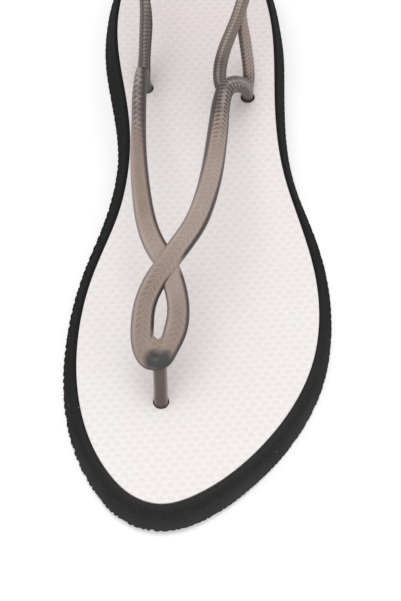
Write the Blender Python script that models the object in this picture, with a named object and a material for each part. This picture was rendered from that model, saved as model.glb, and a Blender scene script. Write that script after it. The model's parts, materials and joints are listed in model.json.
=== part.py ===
"""Thong slingback sandal for the left foot: foam outsole, inlaid footbed and moulded straps.

The toe points along -Y, the big toe lies on the -X side and the sole stands on z = 0.
Tables are in millimetres and share one measuring frame: across is the distance to the
right of the centre plane, station the distance from the footbed's toe tip towards the
heel, and lift the height above the flat forefoot part of the footbed.
"""

import math
from collections import namedtuple

import bmesh
import bpy
import numpy as np
from mathutils import Matrix, Vector

MM = 0.001

# Sole: overall sizes
FOREFOOT_THICKNESS = 11.0
HEEL_RISE = 9.0
RISE_START = 90.0
RISE_END = 215.0
TOE_SPRING = 1.2
TOE_SPRING_START = 35.0
FOOTBED_TOE_STATION = 0.0
FOOTBED_TOE_ACROSS = -12.5
FOOTBED_HEEL_STATION = 247.0
FOOTBED_HEEL_ACROSS = -3.0
OUTLINE_STATIONS = 56
OUTLINE_STEPS = 40

# Sole: wall, rim and inlay
FLARE = 4.7
MEDIAL_FLARE_EXTRA = 0.5
MEDIAL_FLARE_START = 110.0
MEDIAL_FLARE_END = 165.0
TOE_FLARE_EXTRA = 0.6
TOE_FLARE_REACH = 8.0
WAIST_FLARE_EXTRA = 1.6
WAIST_FLARE_STATION = 105.0
WAIST_FLARE_REACH = 28.0
HEEL_FLARE_EXTRA = 3.0
HEEL_FLARE_START = 170.0
HEEL_FLARE_END = 228.0
RIM_WIDTH = 1.2
INLAY_GAP = 0.3
FOOTBED_THICKNESS = 1.6
FOOTBED_PROUD = 0.15

# Holes and plugs
STEM_HOLE_RADIUS = 2.55
POST_HOLE_RADIUS = 2.6
PLUG_RECESS_RADIUS = 6.6
PLUG_RECESS_DEPTH = 4.0
PLUG_RADIUS = 6.2
PLUG_THICKNESS = 3.0
PLUG_FLOOR_GAP = 0.6
HOLE_SIDES = 24
CUTTER_REACH = 5.0

# Upper
POST_RADIUS = 2.2
ROUND_CORNER_SHARE = 0.48
FLAT_CORNER_DROP = 0.16
CORNER_POINTS = 3
STRAP_STEPS = 4
HEEL_BAND_STEPS = 3

# Middle of the finished part in the measuring frame
CENTRE_ACROSS = -0.5
CENTRE_STATION = 124.7

EdgeRow = namedtuple("EdgeRow", "station medial lateral")

# Edge of the white footbed, toe to heel
FOOTBED_EDGE = [
    EdgeRow(3.0, -21.2, -1.5),
    EdgeRow(10.0, -28.2, 9.2),
    EdgeRow(20.0, -34.0, 19.5),
    EdgeRow(35.0, -38.7, 30.2),
    EdgeRow(50.0, -40.4, 36.6),
    EdgeRow(65.0, -39.9, 39.3),
    EdgeRow(80.0, -37.5, 39.3),
    EdgeRow(95.0, -33.2, 37.1),
    EdgeRow(110.0, -28.6, 33.5),
    EdgeRow(125.0, -26.0, 29.9),
    EdgeRow(142.0, -25.4, 27.7),
    EdgeRow(160.0, -27.4, 27.2),
    EdgeRow(180.0, -30.6, 27.4),
    EdgeRow(196.0, -31.3, 26.5),
    EdgeRow(212.0, -29.6, 24.0),
    EdgeRow(227.0, -26.4, 20.6),
    EdgeRow(237.0, -21.4, 15.4),
    EdgeRow(244.0, -13.4, 7.4),
]

WallRow = namedtuple("WallRow", "name down out")

# Side wall from the rim to the underside: share of the height gone down, share of the flare gone out
WALL = [
    WallRow("rim", 0.00, 0.00),
    WallRow("upper layer", 0.26, 0.31),
    WallRow("layer line", 0.30, 0.31),
    WallRow("lower layer", 0.80, 0.80),
    WallRow("lip", 0.88, 0.96),
    WallRow("edge", 0.96, 1.00),
    WallRow("underside", 1.00, 0.95),
]

StrapRow = namedtuple("StrapRow", "across station lift face_x face_y face_z width thickness")

# Right strap: side hole, curl, instep, over the crossing, medial side of the loop, front of the loop
RIGHT_STRAP = [
    StrapRow(17.3, 159.4, -9.4, 1.00, 0.00, 0.00, 4.0, 4.0),
    StrapRow(17.3, 159.4, -2.0, 1.00, 0.00, 0.00, 4.0, 4.0),
    StrapRow(17.3, 159.4, 5.4, 1.00, 0.00, 0.00, 4.0, 4.0),
    StrapRow(16.7, 157.6, 11.5, 0.90, -0.10, 0.40, 5.4, 3.6),
    StrapRow(13.6, 154.2, 17.8, 0.55, 0.20, 0.80, 6.6, 3.4),
    StrapRow(9.8, 149.4, 21.8, 0.25, 0.35, 0.90, 6.4, 3.4),
    StrapRow(7.5, 141.0, 25.0, 0.35, 0.25, 0.90, 6.2, 3.4),
    StrapRow(6.3, 127.5, 29.4, 0.40, 0.15, 0.90, 6.6, 3.6),
    StrapRow(4.9, 111.0, 33.6, 0.30, 0.10, 0.95, 7.0, 3.8),
    StrapRow(3.4, 98.3, 36.0, 0.20, 0.00, 0.98, 7.2, 4.0),
    StrapRow(1.1, 87.0, 37.0, 0.10, -0.10, 0.99, 7.2, 4.0),
    StrapRow(-2.3, 77.6, 36.7, 0.05, -0.25, 0.97, 7.1, 4.0),
    StrapRow(-6.0, 71.8, 35.6, 0.00, -0.40, 0.92, 7.0, 4.0),
    StrapRow(-10.2, 66.3, 33.4, 0.00, -0.50, 0.87, 7.0, 4.0),
    StrapRow(-15.1, 60.3, 28.8, 0.00, -0.52, 0.85, 7.0, 4.0),
    StrapRow(-17.6, 54.6, 24.6, 0.00, -0.52, 0.85, 7.0, 4.0),
    StrapRow(-18.2, 48.6, 21.2, 0.00, -0.52, 0.85, 7.2, 4.2),
    StrapRow(-17.9, 43.4, 18.3, 0.00, -0.52, 0.85, 6.2, 4.4),
    StrapRow(-15.9, 40.5, 16.8, 0.00, -0.52, 0.85, 5.4, 4.4),
    StrapRow(-13.0, 39.9, 16.5, 0.00, -0.52, 0.85, 4.6, 4.4),
]

# Left strap: front of the loop, its lateral side, under the crossing, instep, curl, side hole
LEFT_STRAP = [
    StrapRow(-15.2, 40.1, 16.6, 0.00, -0.52, 0.85, 4.2, 3.8),
    StrapRow(-12.3, 40.4, 16.8, 0.00, -0.52, 0.85, 5.2, 4.0),
    StrapRow(-10.2, 43.4, 18.3, 0.00, -0.52, 0.85, 6.2, 4.2),
    StrapRow(-7.9, 48.6, 21.2, 0.00, -0.52, 0.85, 7.2, 4.2),
    StrapRow(-6.9, 54.6, 24.2, 0.00, -0.52, 0.85, 7.0, 4.0),
    StrapRow(-7.9, 60.2, 28.3, 0.00, -0.52, 0.85, 7.0, 4.0),
    StrapRow(-11.0, 66.9, 32.6, 0.00, -0.50, 0.87, 7.0, 4.0),
    StrapRow(-14.2, 72.0, 34.4, 0.00, -0.40, 0.92, 6.9, 4.0),
    StrapRow(-16.7, 78.4, 35.8, -0.05, -0.25, 0.97, 6.6, 4.0),
    StrapRow(-18.4, 87.4, 36.5, -0.05, -0.10, 0.99, 6.2, 4.0),
    StrapRow(-19.6, 98.3, 36.0, -0.10, 0.00, 0.99, 5.8, 3.8),
    StrapRow(-20.4, 111.0, 33.6, -0.15, 0.10, 0.98, 5.3, 3.6),
    StrapRow(-20.9, 127.5, 29.4, -0.20, 0.15, 0.97, 4.9, 3.4),
    StrapRow(-21.2, 143.0, 25.6, -0.25, 0.25, 0.94, 4.9, 3.4),
    StrapRow(-21.0, 154.5, 22.6, -0.35, 0.40, 0.85, 4.4, 3.4),
    StrapRow(-20.8, 161.4, 17.4, -0.60, 0.65, 0.45, 4.2, 3.4),
    StrapRow(-20.4, 163.6, 9.8, -0.85, 0.45, 0.15, 4.3, 3.6),
    StrapRow(-19.9, 163.4, 5.4, -1.00, 0.00, 0.00, 4.0, 4.0),
    StrapRow(-19.9, 163.4, -2.0, -1.00, 0.00, 0.00, 4.0, 4.0),
    StrapRow(-19.9, 163.4, -9.4, -1.00, 0.00, 0.00, 4.0, 4.0),
]

# Heel band with the upper leg of each side, from the right instep strap round the heel to the left one
HEEL_BAND = [
    StrapRow(8.0, 144.5, 23.0, 0.60, 0.20, 0.75, 4.4, 2.6),
    StrapRow(6.8, 151.0, 22.8, 0.70, 0.10, 0.68, 5.0, 3.0),
    StrapRow(7.2, 158.5, 24.4, 0.80, 0.00, 0.55, 5.2, 3.2),
    StrapRow(9.5, 165.8, 27.4, 0.88, 0.00, 0.45, 5.2, 3.2),
    StrapRow(12.2, 171.8, 30.6, 0.93, 0.00, 0.35, 5.4, 3.2),
    StrapRow(14.6, 177.8, 33.8, 0.97, 0.00, 0.20, 6.4, 3.4),
    StrapRow(17.4, 188.0, 37.0, 1.00, 0.05, 0.10, 7.4, 3.4),
    StrapRow(19.2, 201.0, 40.0, 0.95, 0.30, 0.05, 7.8, 3.4),
    StrapRow(17.8, 215.0, 43.4, 0.80, 0.60, 0.00, 8.0, 3.4),
    StrapRow(11.4, 226.5, 46.4, 0.50, 0.87, 0.00, 8.2, 3.4),
    StrapRow(-2.6, 232.5, 48.0, 0.00, 1.00, 0.00, 8.4, 3.4),
    StrapRow(-16.6, 227.5, 46.4, -0.50, 0.87, 0.00, 8.2, 3.4),
    StrapRow(-23.4, 216.0, 43.4, -0.80, 0.60, 0.00, 8.0, 3.4),
    StrapRow(-24.6, 202.0, 40.2, -0.95, 0.30, 0.05, 7.8, 3.4),
    StrapRow(-21.8, 190.0, 37.4, -1.00, 0.05, 0.10, 7.4, 3.4),
    StrapRow(-19.9, 180.5, 34.2, -0.97, 0.00, 0.20, 6.2, 3.2),
    StrapRow(-19.8, 172.0, 30.4, -0.93, 0.00, 0.35, 5.0, 3.0),
    StrapRow(-20.0, 166.0, 26.4, -0.88, 0.00, 0.45, 4.6, 3.0),
    StrapRow(-20.3, 160.5, 22.6, -0.80, 0.00, 0.55, 4.4, 2.8),
    StrapRow(-20.9, 153.5, 20.6, -0.60, 0.10, 0.75, 3.6, 2.4),
]

# Lower leg of each side, from the side stem up into the heel band
RIGHT_LEG = [
    StrapRow(17.3, 159.5, 6.2, 0.90, -0.30, 0.20, 3.0, 2.6),
    StrapRow(17.6, 162.2, 9.4, 0.80, -0.50, 0.33, 4.4, 2.8),
    StrapRow(17.5, 165.4, 13.4, 0.77, -0.53, 0.35, 4.8, 2.8),
    StrapRow(16.8, 168.6, 18.2, 0.77, -0.53, 0.35, 4.8, 2.8),
    StrapRow(15.9, 171.8, 23.0, 0.80, -0.50, 0.33, 4.8, 2.8),
    StrapRow(14.8, 176.4, 29.4, 0.90, -0.30, 0.25, 4.6, 2.8),
    StrapRow(15.5, 182.0, 34.8, 1.00, 0.00, 0.15, 4.4, 2.4),
]
LEFT_LEG = [
    StrapRow(-19.9, 163.5, 6.6, -1.00, 0.00, 0.00, 3.0, 2.6),
    StrapRow(-19.9, 166.6, 9.6, -1.00, 0.00, 0.05, 4.4, 3.0),
    StrapRow(-19.8, 170.2, 13.4, -1.00, 0.00, 0.05, 4.8, 3.0),
    StrapRow(-19.4, 173.6, 18.2, -1.00, 0.00, 0.10, 5.0, 3.0),
    StrapRow(-19.0, 176.8, 23.0, -1.00, 0.00, 0.15, 5.0, 3.0),
    StrapRow(-19.3, 181.4, 29.6, -1.00, 0.00, 0.20, 4.8, 2.8),
    StrapRow(-21.2, 186.8, 35.4, -1.00, 0.00, 0.15, 4.4, 2.4),
]

# Web that fills the front of the loop over the toe post
LOOP_PAD = [
    StrapRow(-14.2, 39.8, 16.6, 0.00, -0.52, 0.85, 5.0, 3.8),
    StrapRow(-13.7, 43.0, 18.2, 0.00, -0.52, 0.85, 7.4, 4.2),
    StrapRow(-13.2, 46.4, 20.0, 0.00, -0.52, 0.85, 6.8, 4.0),
]

PostRow = namedtuple("PostRow", "across station lift")

# Toe post: underneath, footbed level and inside the loop's front
TOE_POST = [
    PostRow(-12.6, 35.2, -9.4),
    PostRow(-12.6, 35.2, -4.5),
    PostRow(-12.6, 35.2, 0.4),
    PostRow(-12.6, 38.0, 10.0),
    PostRow(-12.7, 40.6, 16.6),
]

Look = namedtuple("Look", "colour roughness metallic")
SHARP_EDGE_ANGLE = 40.0
OUTSOLE_LOOK = Look((0.016, 0.016, 0.017), 0.62, 0.0)
FOOTBED_LOOK = Look((0.86, 0.83, 0.83), 0.60, 0.0)
UPPER_LOOK = Look((0.31, 0.24, 0.20), 0.38, 0.0)


def place(across, station, height):
    """Turn measuring-frame millimetres, with height above the floor, into metres in the part's frame."""
    return Vector((across - CENTRE_ACROSS, station - CENTRE_STATION, height)) * MM


def smooth_step(value, low, high):
    """Ease from 0 at low to 1 at high."""
    share = min(max((value - low) / (high - low), 0.0), 1.0)
    return share * share * (3.0 - 2.0 * share)


def footbed_height(station):
    """Height of the footbed's surface above the floor."""
    return FOREFOOT_THICKNESS + HEEL_RISE * smooth_step(station, RISE_START, RISE_END)


def underside_height(station):
    """Height of the sole's underside, flat but for the toe spring."""
    share = max(TOE_SPRING_START - station, 0.0) / TOE_SPRING_START
    return TOE_SPRING * share * share


def spline_through(rows, closed, steps_per_row):
    """Sample a cubic spline through the rows, with the same number of steps from each row to the next."""
    points = np.array(rows, dtype=float)
    if closed:
        points = np.vstack([points, points[:1]])
    steps = np.linalg.norm(np.diff(points[:, :3], axis=0), axis=1)
    size = len(points)
    system = np.zeros((size, size))
    right = np.zeros_like(points)
    for i in range(1, size - 1):
        system[i, i - 1] = steps[i - 1]
        system[i, i] = 2.0 * (steps[i - 1] + steps[i])
        system[i, i + 1] = steps[i]
        slope_after = (points[i + 1] - points[i]) / steps[i]
        slope_before = (points[i] - points[i - 1]) / steps[i - 1]
        right[i] = 6.0 * (slope_after - slope_before)
    if closed:
        system[0, 0] = 2.0 * (steps[-1] + steps[0])
        system[0, 1] = steps[0]
        system[0, -2] = steps[-1]
        right[0] = 6.0 * ((points[1] - points[0]) / steps[0] - (points[-1] - points[-2]) / steps[-1])
        system[-1, 0] = 1.0
        system[-1, -1] = -1.0
    else:
        system[0, 0] = 1.0
        system[-1, -1] = 1.0
    bend = np.linalg.solve(system, right)
    samples = []
    for i in range(size - 1):
        span = steps[i]
        for before in np.arange(steps_per_row) * span / steps_per_row:
            after = span - before
            value = (bend[i] * after**3 + bend[i + 1] * before**3) / (6.0 * span)
            value += (points[i] / span - bend[i] * span / 6.0) * after
            value += (points[i + 1] / span - bend[i + 1] * span / 6.0) * before
            samples.append(value)
    samples.append(points[-1])
    return np.array(samples)


def footbed_outline():
    """Footbed edge as a closed loop: toe tip, medial side, heel tip, lateral side, matched across."""
    control = [(FOOTBED_TOE_ACROSS, FOOTBED_TOE_STATION, 0.0)]
    control += [(row.medial, row.station, 0.0) for row in FOOTBED_EDGE]
    control.append((FOOTBED_HEEL_ACROSS, FOOTBED_HEEL_STATION, 0.0))
    control += [(row.lateral, row.station, 0.0) for row in reversed(FOOTBED_EDGE)]
    dense = spline_through(control, True, OUTLINE_STEPS)
    toe = int(np.argmin(dense[:, 1]))
    dense = np.roll(dense[:-1], -toe, axis=0)
    heel = int(np.argmax(dense[:, 1]))
    medial = dense[:heel + 1]
    lateral = dense[heel:][::-1]
    turns = np.linspace(0.0, math.pi, OUTLINE_STATIONS)
    low = dense[0, 1]
    high = dense[heel, 1]
    stations = low + (high - low) * 0.5 * (1.0 - np.cos(turns))
    loop = [(dense[0, 0], low)]
    loop += [(np.interp(s, medial[:, 1], medial[:, 0]), s) for s in stations[1:-1]]
    loop.append((dense[heel, 0], high))
    loop += [(np.interp(s, lateral[:, 1], lateral[:, 0]), s) for s in stations[-2:0:-1]]
    return np.array(loop)


def outward_normals(loop):
    """Unit normals of the closed loop, pointing away from the sole."""
    along = np.roll(loop, -1, axis=0) - np.roll(loop, 1, axis=0)
    normals = np.column_stack([-along[:, 1], along[:, 0]])
    return normals / np.linalg.norm(normals, axis=1)[:, None]


def flare_at(station, outward):
    """Distance from the footbed edge out to the foot of the wall, with more beside the big toe."""
    toe = station / TOE_FLARE_REACH
    waist = (station - WAIST_FLARE_STATION) / WAIST_FLARE_REACH
    flare = FLARE + TOE_FLARE_EXTRA * math.exp(-toe * toe) + WAIST_FLARE_EXTRA * math.exp(-waist * waist)
    medial = 1.0 - smooth_step(station, MEDIAL_FLARE_START, MEDIAL_FLARE_END)
    flare += MEDIAL_FLARE_EXTRA * medial * max(-outward, 0.0)
    return flare + HEEL_FLARE_EXTRA * smooth_step(station, HEEL_FLARE_START, HEEL_FLARE_END)


def add_ring(mesh, loop, height_of):
    """Add one loop of vertices, each at the height given for its place."""
    return [mesh.verts.new(place(x, s, height_of(s))) for x, s in loop]


def bridge(mesh, first, second):
    """Join two rings of the same count with quads."""
    count = len(first)
    for i in range(count):
        j = (i + 1) % count
        mesh.faces.new((first[i], first[j], second[j], second[i]))


def cap_across(mesh, ring):
    """Close a sole-shaped ring with rungs from its medial to its lateral side."""
    half = len(ring) // 2
    mesh.faces.new((ring[0], ring[1], ring[-1]))
    for i in range(1, half - 1):
        mesh.faces.new((ring[i], ring[i + 1], ring[-i - 1], ring[-i]))
    mesh.faces.new((ring[half - 1], ring[half], ring[half + 1]))


def link_mesh(name, mesh):
    """Turn a bmesh into a named object in the scene."""
    bmesh.ops.recalc_face_normals(mesh, faces=mesh.faces)
    data = bpy.data.meshes.new(name)
    mesh.to_mesh(data)
    mesh.free()
    obj = bpy.data.objects.new(name, data)
    bpy.context.collection.objects.link(obj)
    return obj


def make_object(name, mesh, look):
    """Turn a bmesh into a finished piece with its own material."""
    obj = link_mesh(name, mesh)
    material = bpy.data.materials.new(name)
    material.use_nodes = True
    shader = material.node_tree.nodes["Principled BSDF"]
    shader.inputs["Base Color"].default_value = (*look.colour, 1.0)
    shader.inputs["Roughness"].default_value = look.roughness
    shader.inputs["Metallic"].default_value = look.metallic
    obj.data.materials.append(material)
    obj.data.shade_smooth()
    obj.data.set_sharp_from_angle(angle=math.radians(SHARP_EDGE_ANGLE))
    return obj


def add_helper(name, mesh):
    """Turn a bmesh into a hidden helper for a Boolean."""
    obj = link_mesh(name, mesh)
    obj.hide_render = True
    obj.display_type = "WIRE"
    return obj


def add_boolean(obj, operation, helper):
    """Join or cut obj with the helper."""
    modifier = obj.modifiers.new(helper.name, "BOOLEAN")
    modifier.operation = operation
    modifier.solver = "EXACT"
    modifier.object = helper


def round_bar(across, station, profile):
    """Upright round bar through (radius, height) steps, bottom to top."""
    mesh = bmesh.new()
    rings = []
    for radius, height in profile:
        spot = Matrix.Translation(place(across, station, height))
        made = bmesh.ops.create_circle(mesh, segments=HOLE_SIDES, radius=radius * MM, matrix=spot)
        rings.append(made["verts"])
    for first, second in zip(rings, rings[1:]):
        bridge(mesh, first, second)
    mesh.faces.new(rings[0])
    mesh.faces.new(rings[-1])
    return mesh


def anchors():
    """Name, place and hole radius of the three points where the upper goes into the sole."""
    return [
        ("toe", TOE_POST[0].across, TOE_POST[0].station, POST_HOLE_RADIUS),
        ("right", RIGHT_STRAP[0].across, RIGHT_STRAP[0].station, STEM_HOLE_RADIUS),
        ("left", LEFT_STRAP[-1].across, LEFT_STRAP[-1].station, STEM_HOLE_RADIUS),
    ]


def cut_holes(obj, with_recess):
    """Cut the three strap holes, with the plug recesses below them where asked."""
    low = -CUTTER_REACH
    high = FOREFOOT_THICKNESS + HEEL_RISE + CUTTER_REACH
    for name, across, station, radius in anchors():
        profile = [(radius, low), (radius, high)]
        if with_recess:
            recess = [(PLUG_RECESS_RADIUS, low), (PLUG_RECESS_RADIUS, PLUG_RECESS_DEPTH)]
            profile = recess + [(radius, PLUG_RECESS_DEPTH), (radius, high)]
        cutter = add_helper(f"{obj.name}_{name}_hole", round_bar(across, station, profile))
        add_boolean(obj, "DIFFERENCE", cutter)


def build_outsole():
    """Foam sole: flared wall, rim and a recess for the footbed."""
    edge = footbed_outline()
    normals = outward_normals(edge)
    flare = np.array([flare_at(s, outward) for s, outward in zip(edge[:, 1], normals[:, 0])])
    mesh = bmesh.new()
    rings = []
    for row in WALL:
        loop = edge + normals * (RIM_WIDTH + (flare - RIM_WIDTH) * row.out)[:, None]
        ring = []
        for (x, s), (_, inner) in zip(loop, edge):
            top = footbed_height(inner)
            height = top + (underside_height(s) - top) * row.down
            ring.append(mesh.verts.new(place(x, s, height)))
        rings.append(ring)
    for first, second in zip(rings, rings[1:]):
        bridge(mesh, first, second)
    cap_across(mesh, rings[-1])
    inner = edge + normals * INLAY_GAP
    depth = FOOTBED_THICKNESS + INLAY_GAP - FOOTBED_PROUD
    lip = add_ring(mesh, inner, footbed_height)
    floor = add_ring(mesh, inner, lambda s: footbed_height(s) - depth)
    bridge(mesh, lip, rings[0])
    bridge(mesh, floor, lip)
    cap_across(mesh, floor)
    obj = make_object("outsole", mesh, OUTSOLE_LOOK)
    cut_holes(obj, True)
    return obj


def build_footbed():
    """White sheet laid into the sole's recess."""
    edge = footbed_outline()
    mesh = bmesh.new()
    top = add_ring(mesh, edge, lambda s: footbed_height(s) + FOOTBED_PROUD)
    bottom = add_ring(mesh, edge, lambda s: footbed_height(s) + FOOTBED_PROUD - FOOTBED_THICKNESS)
    bridge(mesh, top, bottom)
    cap_across(mesh, top)
    cap_across(mesh, bottom)
    obj = make_object("footbed", mesh, FOOTBED_LOOK)
    cut_holes(obj, False)
    return obj


def rounded_section(width, thickness):
    """Points of a rounded rectangle, as (side, face) distances from its middle."""
    flatness = min(max(width / thickness - 1.0, 0.0), 1.0)
    radius = min(width, thickness) * (ROUND_CORNER_SHARE - FLAT_CORNER_DROP * flatness)
    points = []
    for turn, (side, face) in enumerate([(1, 1), (-1, 1), (-1, -1), (1, -1)]):
        middle = (side * (0.5 * width - radius), face * (0.5 * thickness - radius))
        for k in range(CORNER_POINTS):
            angle = math.radians(90.0 * (turn + k / (CORNER_POINTS - 1)))
            points.append((middle[0] + radius * math.cos(angle), middle[1] + radius * math.sin(angle)))
    return points


def sweep(rows, steps_per_row):
    """Strap swept along the rows' spline, its face turned as the rows say."""
    samples = spline_through(rows, False, steps_per_row)
    mesh = bmesh.new()
    rings = []
    for i, sample in enumerate(samples):
        row = StrapRow(*sample)
        before = Vector(samples[max(i - 1, 0)][:3])
        after = Vector(samples[min(i + 1, len(samples) - 1)][:3])
        along = (after - before).normalized()
        face = Vector((row.face_x, row.face_y, row.face_z))
        face = (face - along * face.dot(along)).normalized()
        side = along.cross(face)
        middle = place(row.across, row.station, row.lift + FOREFOOT_THICKNESS)
        ring = []
        for across_side, across_face in rounded_section(row.width, row.thickness):
            ring.append(mesh.verts.new(middle + (side * across_side + face * across_face) * MM))
        rings.append(ring)
    for first, second in zip(rings, rings[1:]):
        bridge(mesh, first, second)
    mesh.faces.new(rings[0])
    mesh.faces.new(rings[-1])
    return mesh


def build_upper():
    """Straps, toe post and plugs joined into one moulded piece."""
    obj = make_object("upper", sweep(RIGHT_STRAP, STRAP_STEPS), UPPER_LOOK)
    post_rows = [
        StrapRow(*row, 1.0, 0.0, 0.0, 2.0 * POST_RADIUS, 2.0 * POST_RADIUS) for row in TOE_POST
    ]
    pieces = [
        ("left_strap", sweep(LEFT_STRAP, STRAP_STEPS)),
        ("heel_band", sweep(HEEL_BAND, HEEL_BAND_STEPS)),
        ("right_leg", sweep(RIGHT_LEG, STRAP_STEPS)),
        ("left_leg", sweep(LEFT_LEG, STRAP_STEPS)),
        ("loop_pad", sweep(LOOP_PAD, STRAP_STEPS)),
        ("toe_post", sweep(post_rows, STRAP_STEPS)),
    ]
    for name, across, station, _ in anchors():
        plug = [(PLUG_RADIUS, PLUG_FLOOR_GAP), (PLUG_RADIUS, PLUG_FLOOR_GAP + PLUG_THICKNESS)]
        pieces.append((f"{name}_plug", round_bar(across, station, plug)))
    for name, mesh in pieces:
        add_boolean(obj, "UNION", add_helper(name, mesh))
    return obj


def main():
    for obj in list(bpy.data.objects):
        bpy.data.objects.remove(obj)
    build_outsole()
    build_footbed()
    build_upper()


main()
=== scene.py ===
"""Looks of the thong slingback sandal for the left foot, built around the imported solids."""

import json
import math
from collections import namedtuple

import bmesh
import bpy
import numpy as np
from bpy.props import FloatProperty, FloatVectorProperty, IntProperty, PointerProperty
from bpy.types import Operator, Panel, PropertyGroup
from mathutils import Matrix, Vector


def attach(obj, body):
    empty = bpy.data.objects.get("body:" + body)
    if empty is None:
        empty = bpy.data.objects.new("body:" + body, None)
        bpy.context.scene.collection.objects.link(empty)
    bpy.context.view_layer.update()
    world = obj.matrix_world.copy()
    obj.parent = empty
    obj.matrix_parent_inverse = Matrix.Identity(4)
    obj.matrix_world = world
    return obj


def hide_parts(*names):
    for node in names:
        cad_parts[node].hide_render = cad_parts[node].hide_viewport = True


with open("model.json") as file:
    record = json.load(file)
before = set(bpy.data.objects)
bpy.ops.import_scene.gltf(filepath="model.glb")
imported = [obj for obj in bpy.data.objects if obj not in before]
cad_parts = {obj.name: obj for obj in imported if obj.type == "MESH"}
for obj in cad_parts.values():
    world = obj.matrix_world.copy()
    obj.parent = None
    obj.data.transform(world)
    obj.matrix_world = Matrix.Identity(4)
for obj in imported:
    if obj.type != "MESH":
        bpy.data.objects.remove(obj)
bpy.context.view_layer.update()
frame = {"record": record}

bl_info = {
    "name": "Thong Slingback Sandal",
    "version": (1, 0, 0),
    "blender": (4, 5, 0),
    "location": "View3D > Sidebar > Sandal",
    "description": "Builds the visible sole, footbed, straps and studio of a thong sandal",
    "category": "Object",
}

RECORD_COLOUR = {row["slot"]: tuple(row["base_color"][:3]) for row in frame["record"]["materials"]}

MM = 0.001
PER_METRE = 1000.0
MERGE_DISTANCE = 1.0e-7
TINY = 1.0e-12
SHARP_ANGLE = math.radians(50.0)
WHITE = (1.0, 1.0, 1.0, 1.0)

# Sole sizes in millimetres, in the part's measuring frame
CENTRE_ACROSS = -0.5
CENTRE_STATION = 124.7
FOREFOOT_THICKNESS = 11.0
HEEL_RISE = 9.0
RISE_START = 90.0
RISE_END = 215.0
TOE_SPRING = 1.2
TOE_SPRING_START = 35.0
TOE_TIP = (-12.5, 0.0)
HEEL_TIP = (-3.0, 247.0)
OUTLINE_STEPS = 40
FLARE = 4.7
MEDIAL_FLARE_EXTRA = 0.5
MEDIAL_FLARE_START = 110.0
MEDIAL_FLARE_END = 165.0
TOE_FLARE_EXTRA = 0.6
TOE_FLARE_REACH = 8.0
WAIST_FLARE_EXTRA = 1.6
WAIST_FLARE_STATION = 105.0
WAIST_FLARE_REACH = 28.0
HEEL_FLARE_EXTRA = 3.0
HEEL_FLARE_START = 170.0
HEEL_FLARE_END = 228.0
RIM_WIDTH = 1.2
INLAY_GAP = 0.3
FOOTBED_THICKNESS = 1.6
FOOTBED_PROUD = 0.15
SPINE_END = 24.0

# Holes, plugs and straps in millimetres
HOLE_RADIUS = 2.58
HOLE_SIDES = 48
PLUG_RECESS_RADIUS = 6.6
PLUG_RECESS_DEPTH = 4.0
PLUG_RADIUS = 6.2
PLUG_THICKNESS = 3.0
PLUG_BEVEL = 0.5
PLUG_FLOOR_GAP = 0.6
CUTTER_REACH = 5.0
POST_RADIUS = 2.2
ROUND_CORNER_SHARE = 0.48
FLAT_CORNER_DROP = 0.16

EdgeRow = namedtuple("EdgeRow", "station medial lateral")

# Edge of the white footbed, toe to heel
FOOTBED_EDGE = [
    EdgeRow(3.0, -21.2, -1.5),
    EdgeRow(10.0, -28.2, 9.2),
    EdgeRow(20.0, -34.0, 19.5),
    EdgeRow(35.0, -38.7, 30.2),
    EdgeRow(50.0, -40.4, 36.6),
    EdgeRow(65.0, -39.9, 39.3),
    EdgeRow(80.0, -37.5, 39.3),
    EdgeRow(95.0, -33.2, 37.1),
    EdgeRow(110.0, -28.6, 33.5),
    EdgeRow(125.0, -26.0, 29.9),
    EdgeRow(142.0, -25.4, 27.7),
    EdgeRow(160.0, -27.4, 27.2),
    EdgeRow(180.0, -30.6, 27.4),
    EdgeRow(196.0, -31.3, 26.5),
    EdgeRow(212.0, -29.6, 24.0),
    EdgeRow(227.0, -26.4, 20.6),
    EdgeRow(237.0, -21.4, 15.4),
    EdgeRow(244.0, -13.4, 7.4),
]

WallRow = namedtuple("WallRow", "name down out rings")

# Side wall: share of the height gone down, share of the flare gone out, rings from the row above
WALL = [
    WallRow("rim corner", 0.00, -0.08, 1),
    WallRow("rim shoulder", 0.03, 0.03, 2),
    WallRow("upper layer", 0.255, 0.31, 5),
    WallRow("line top", 0.27, 0.30, 1),
    WallRow("line floor", 0.28, 0.275, 1),
    WallRow("line foot", 0.295, 0.30, 1),
    WallRow("lower layer start", 0.31, 0.325, 1),
    WallRow("lower layer", 0.80, 0.80, 8),
    WallRow("lip", 0.88, 0.96, 4),
    WallRow("edge", 0.93, 1.00, 3),
]

FootRow = namedtuple("FootRow", "inset lift down")

# Lower edge under the wall: inset from the wall's foot, lift off the floor, share of the height gone down
FOOT = [
    FootRow(0.0, 0.35, 0.97),
    FootRow(0.25, 0.0, 1.0),
    FootRow(0.9, 0.0, 1.1),
]
UNDERSIDE_INSET = 1.3

# Uneven notches in the lower edge as two waves along it, and the stations over which the wall's painted
# shade grows towards the heel
NOTCH_WAVES = (0.9, 0.37)
DARK_WALL_STRETCH = (70.0, 120.0)

StrapRow = namedtuple("StrapRow", "across station lift face_x face_y face_z width thickness tone")

# Tones of a strap's face: pale below 0, brown at 0, deep brown at a third, grey at 1

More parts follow.
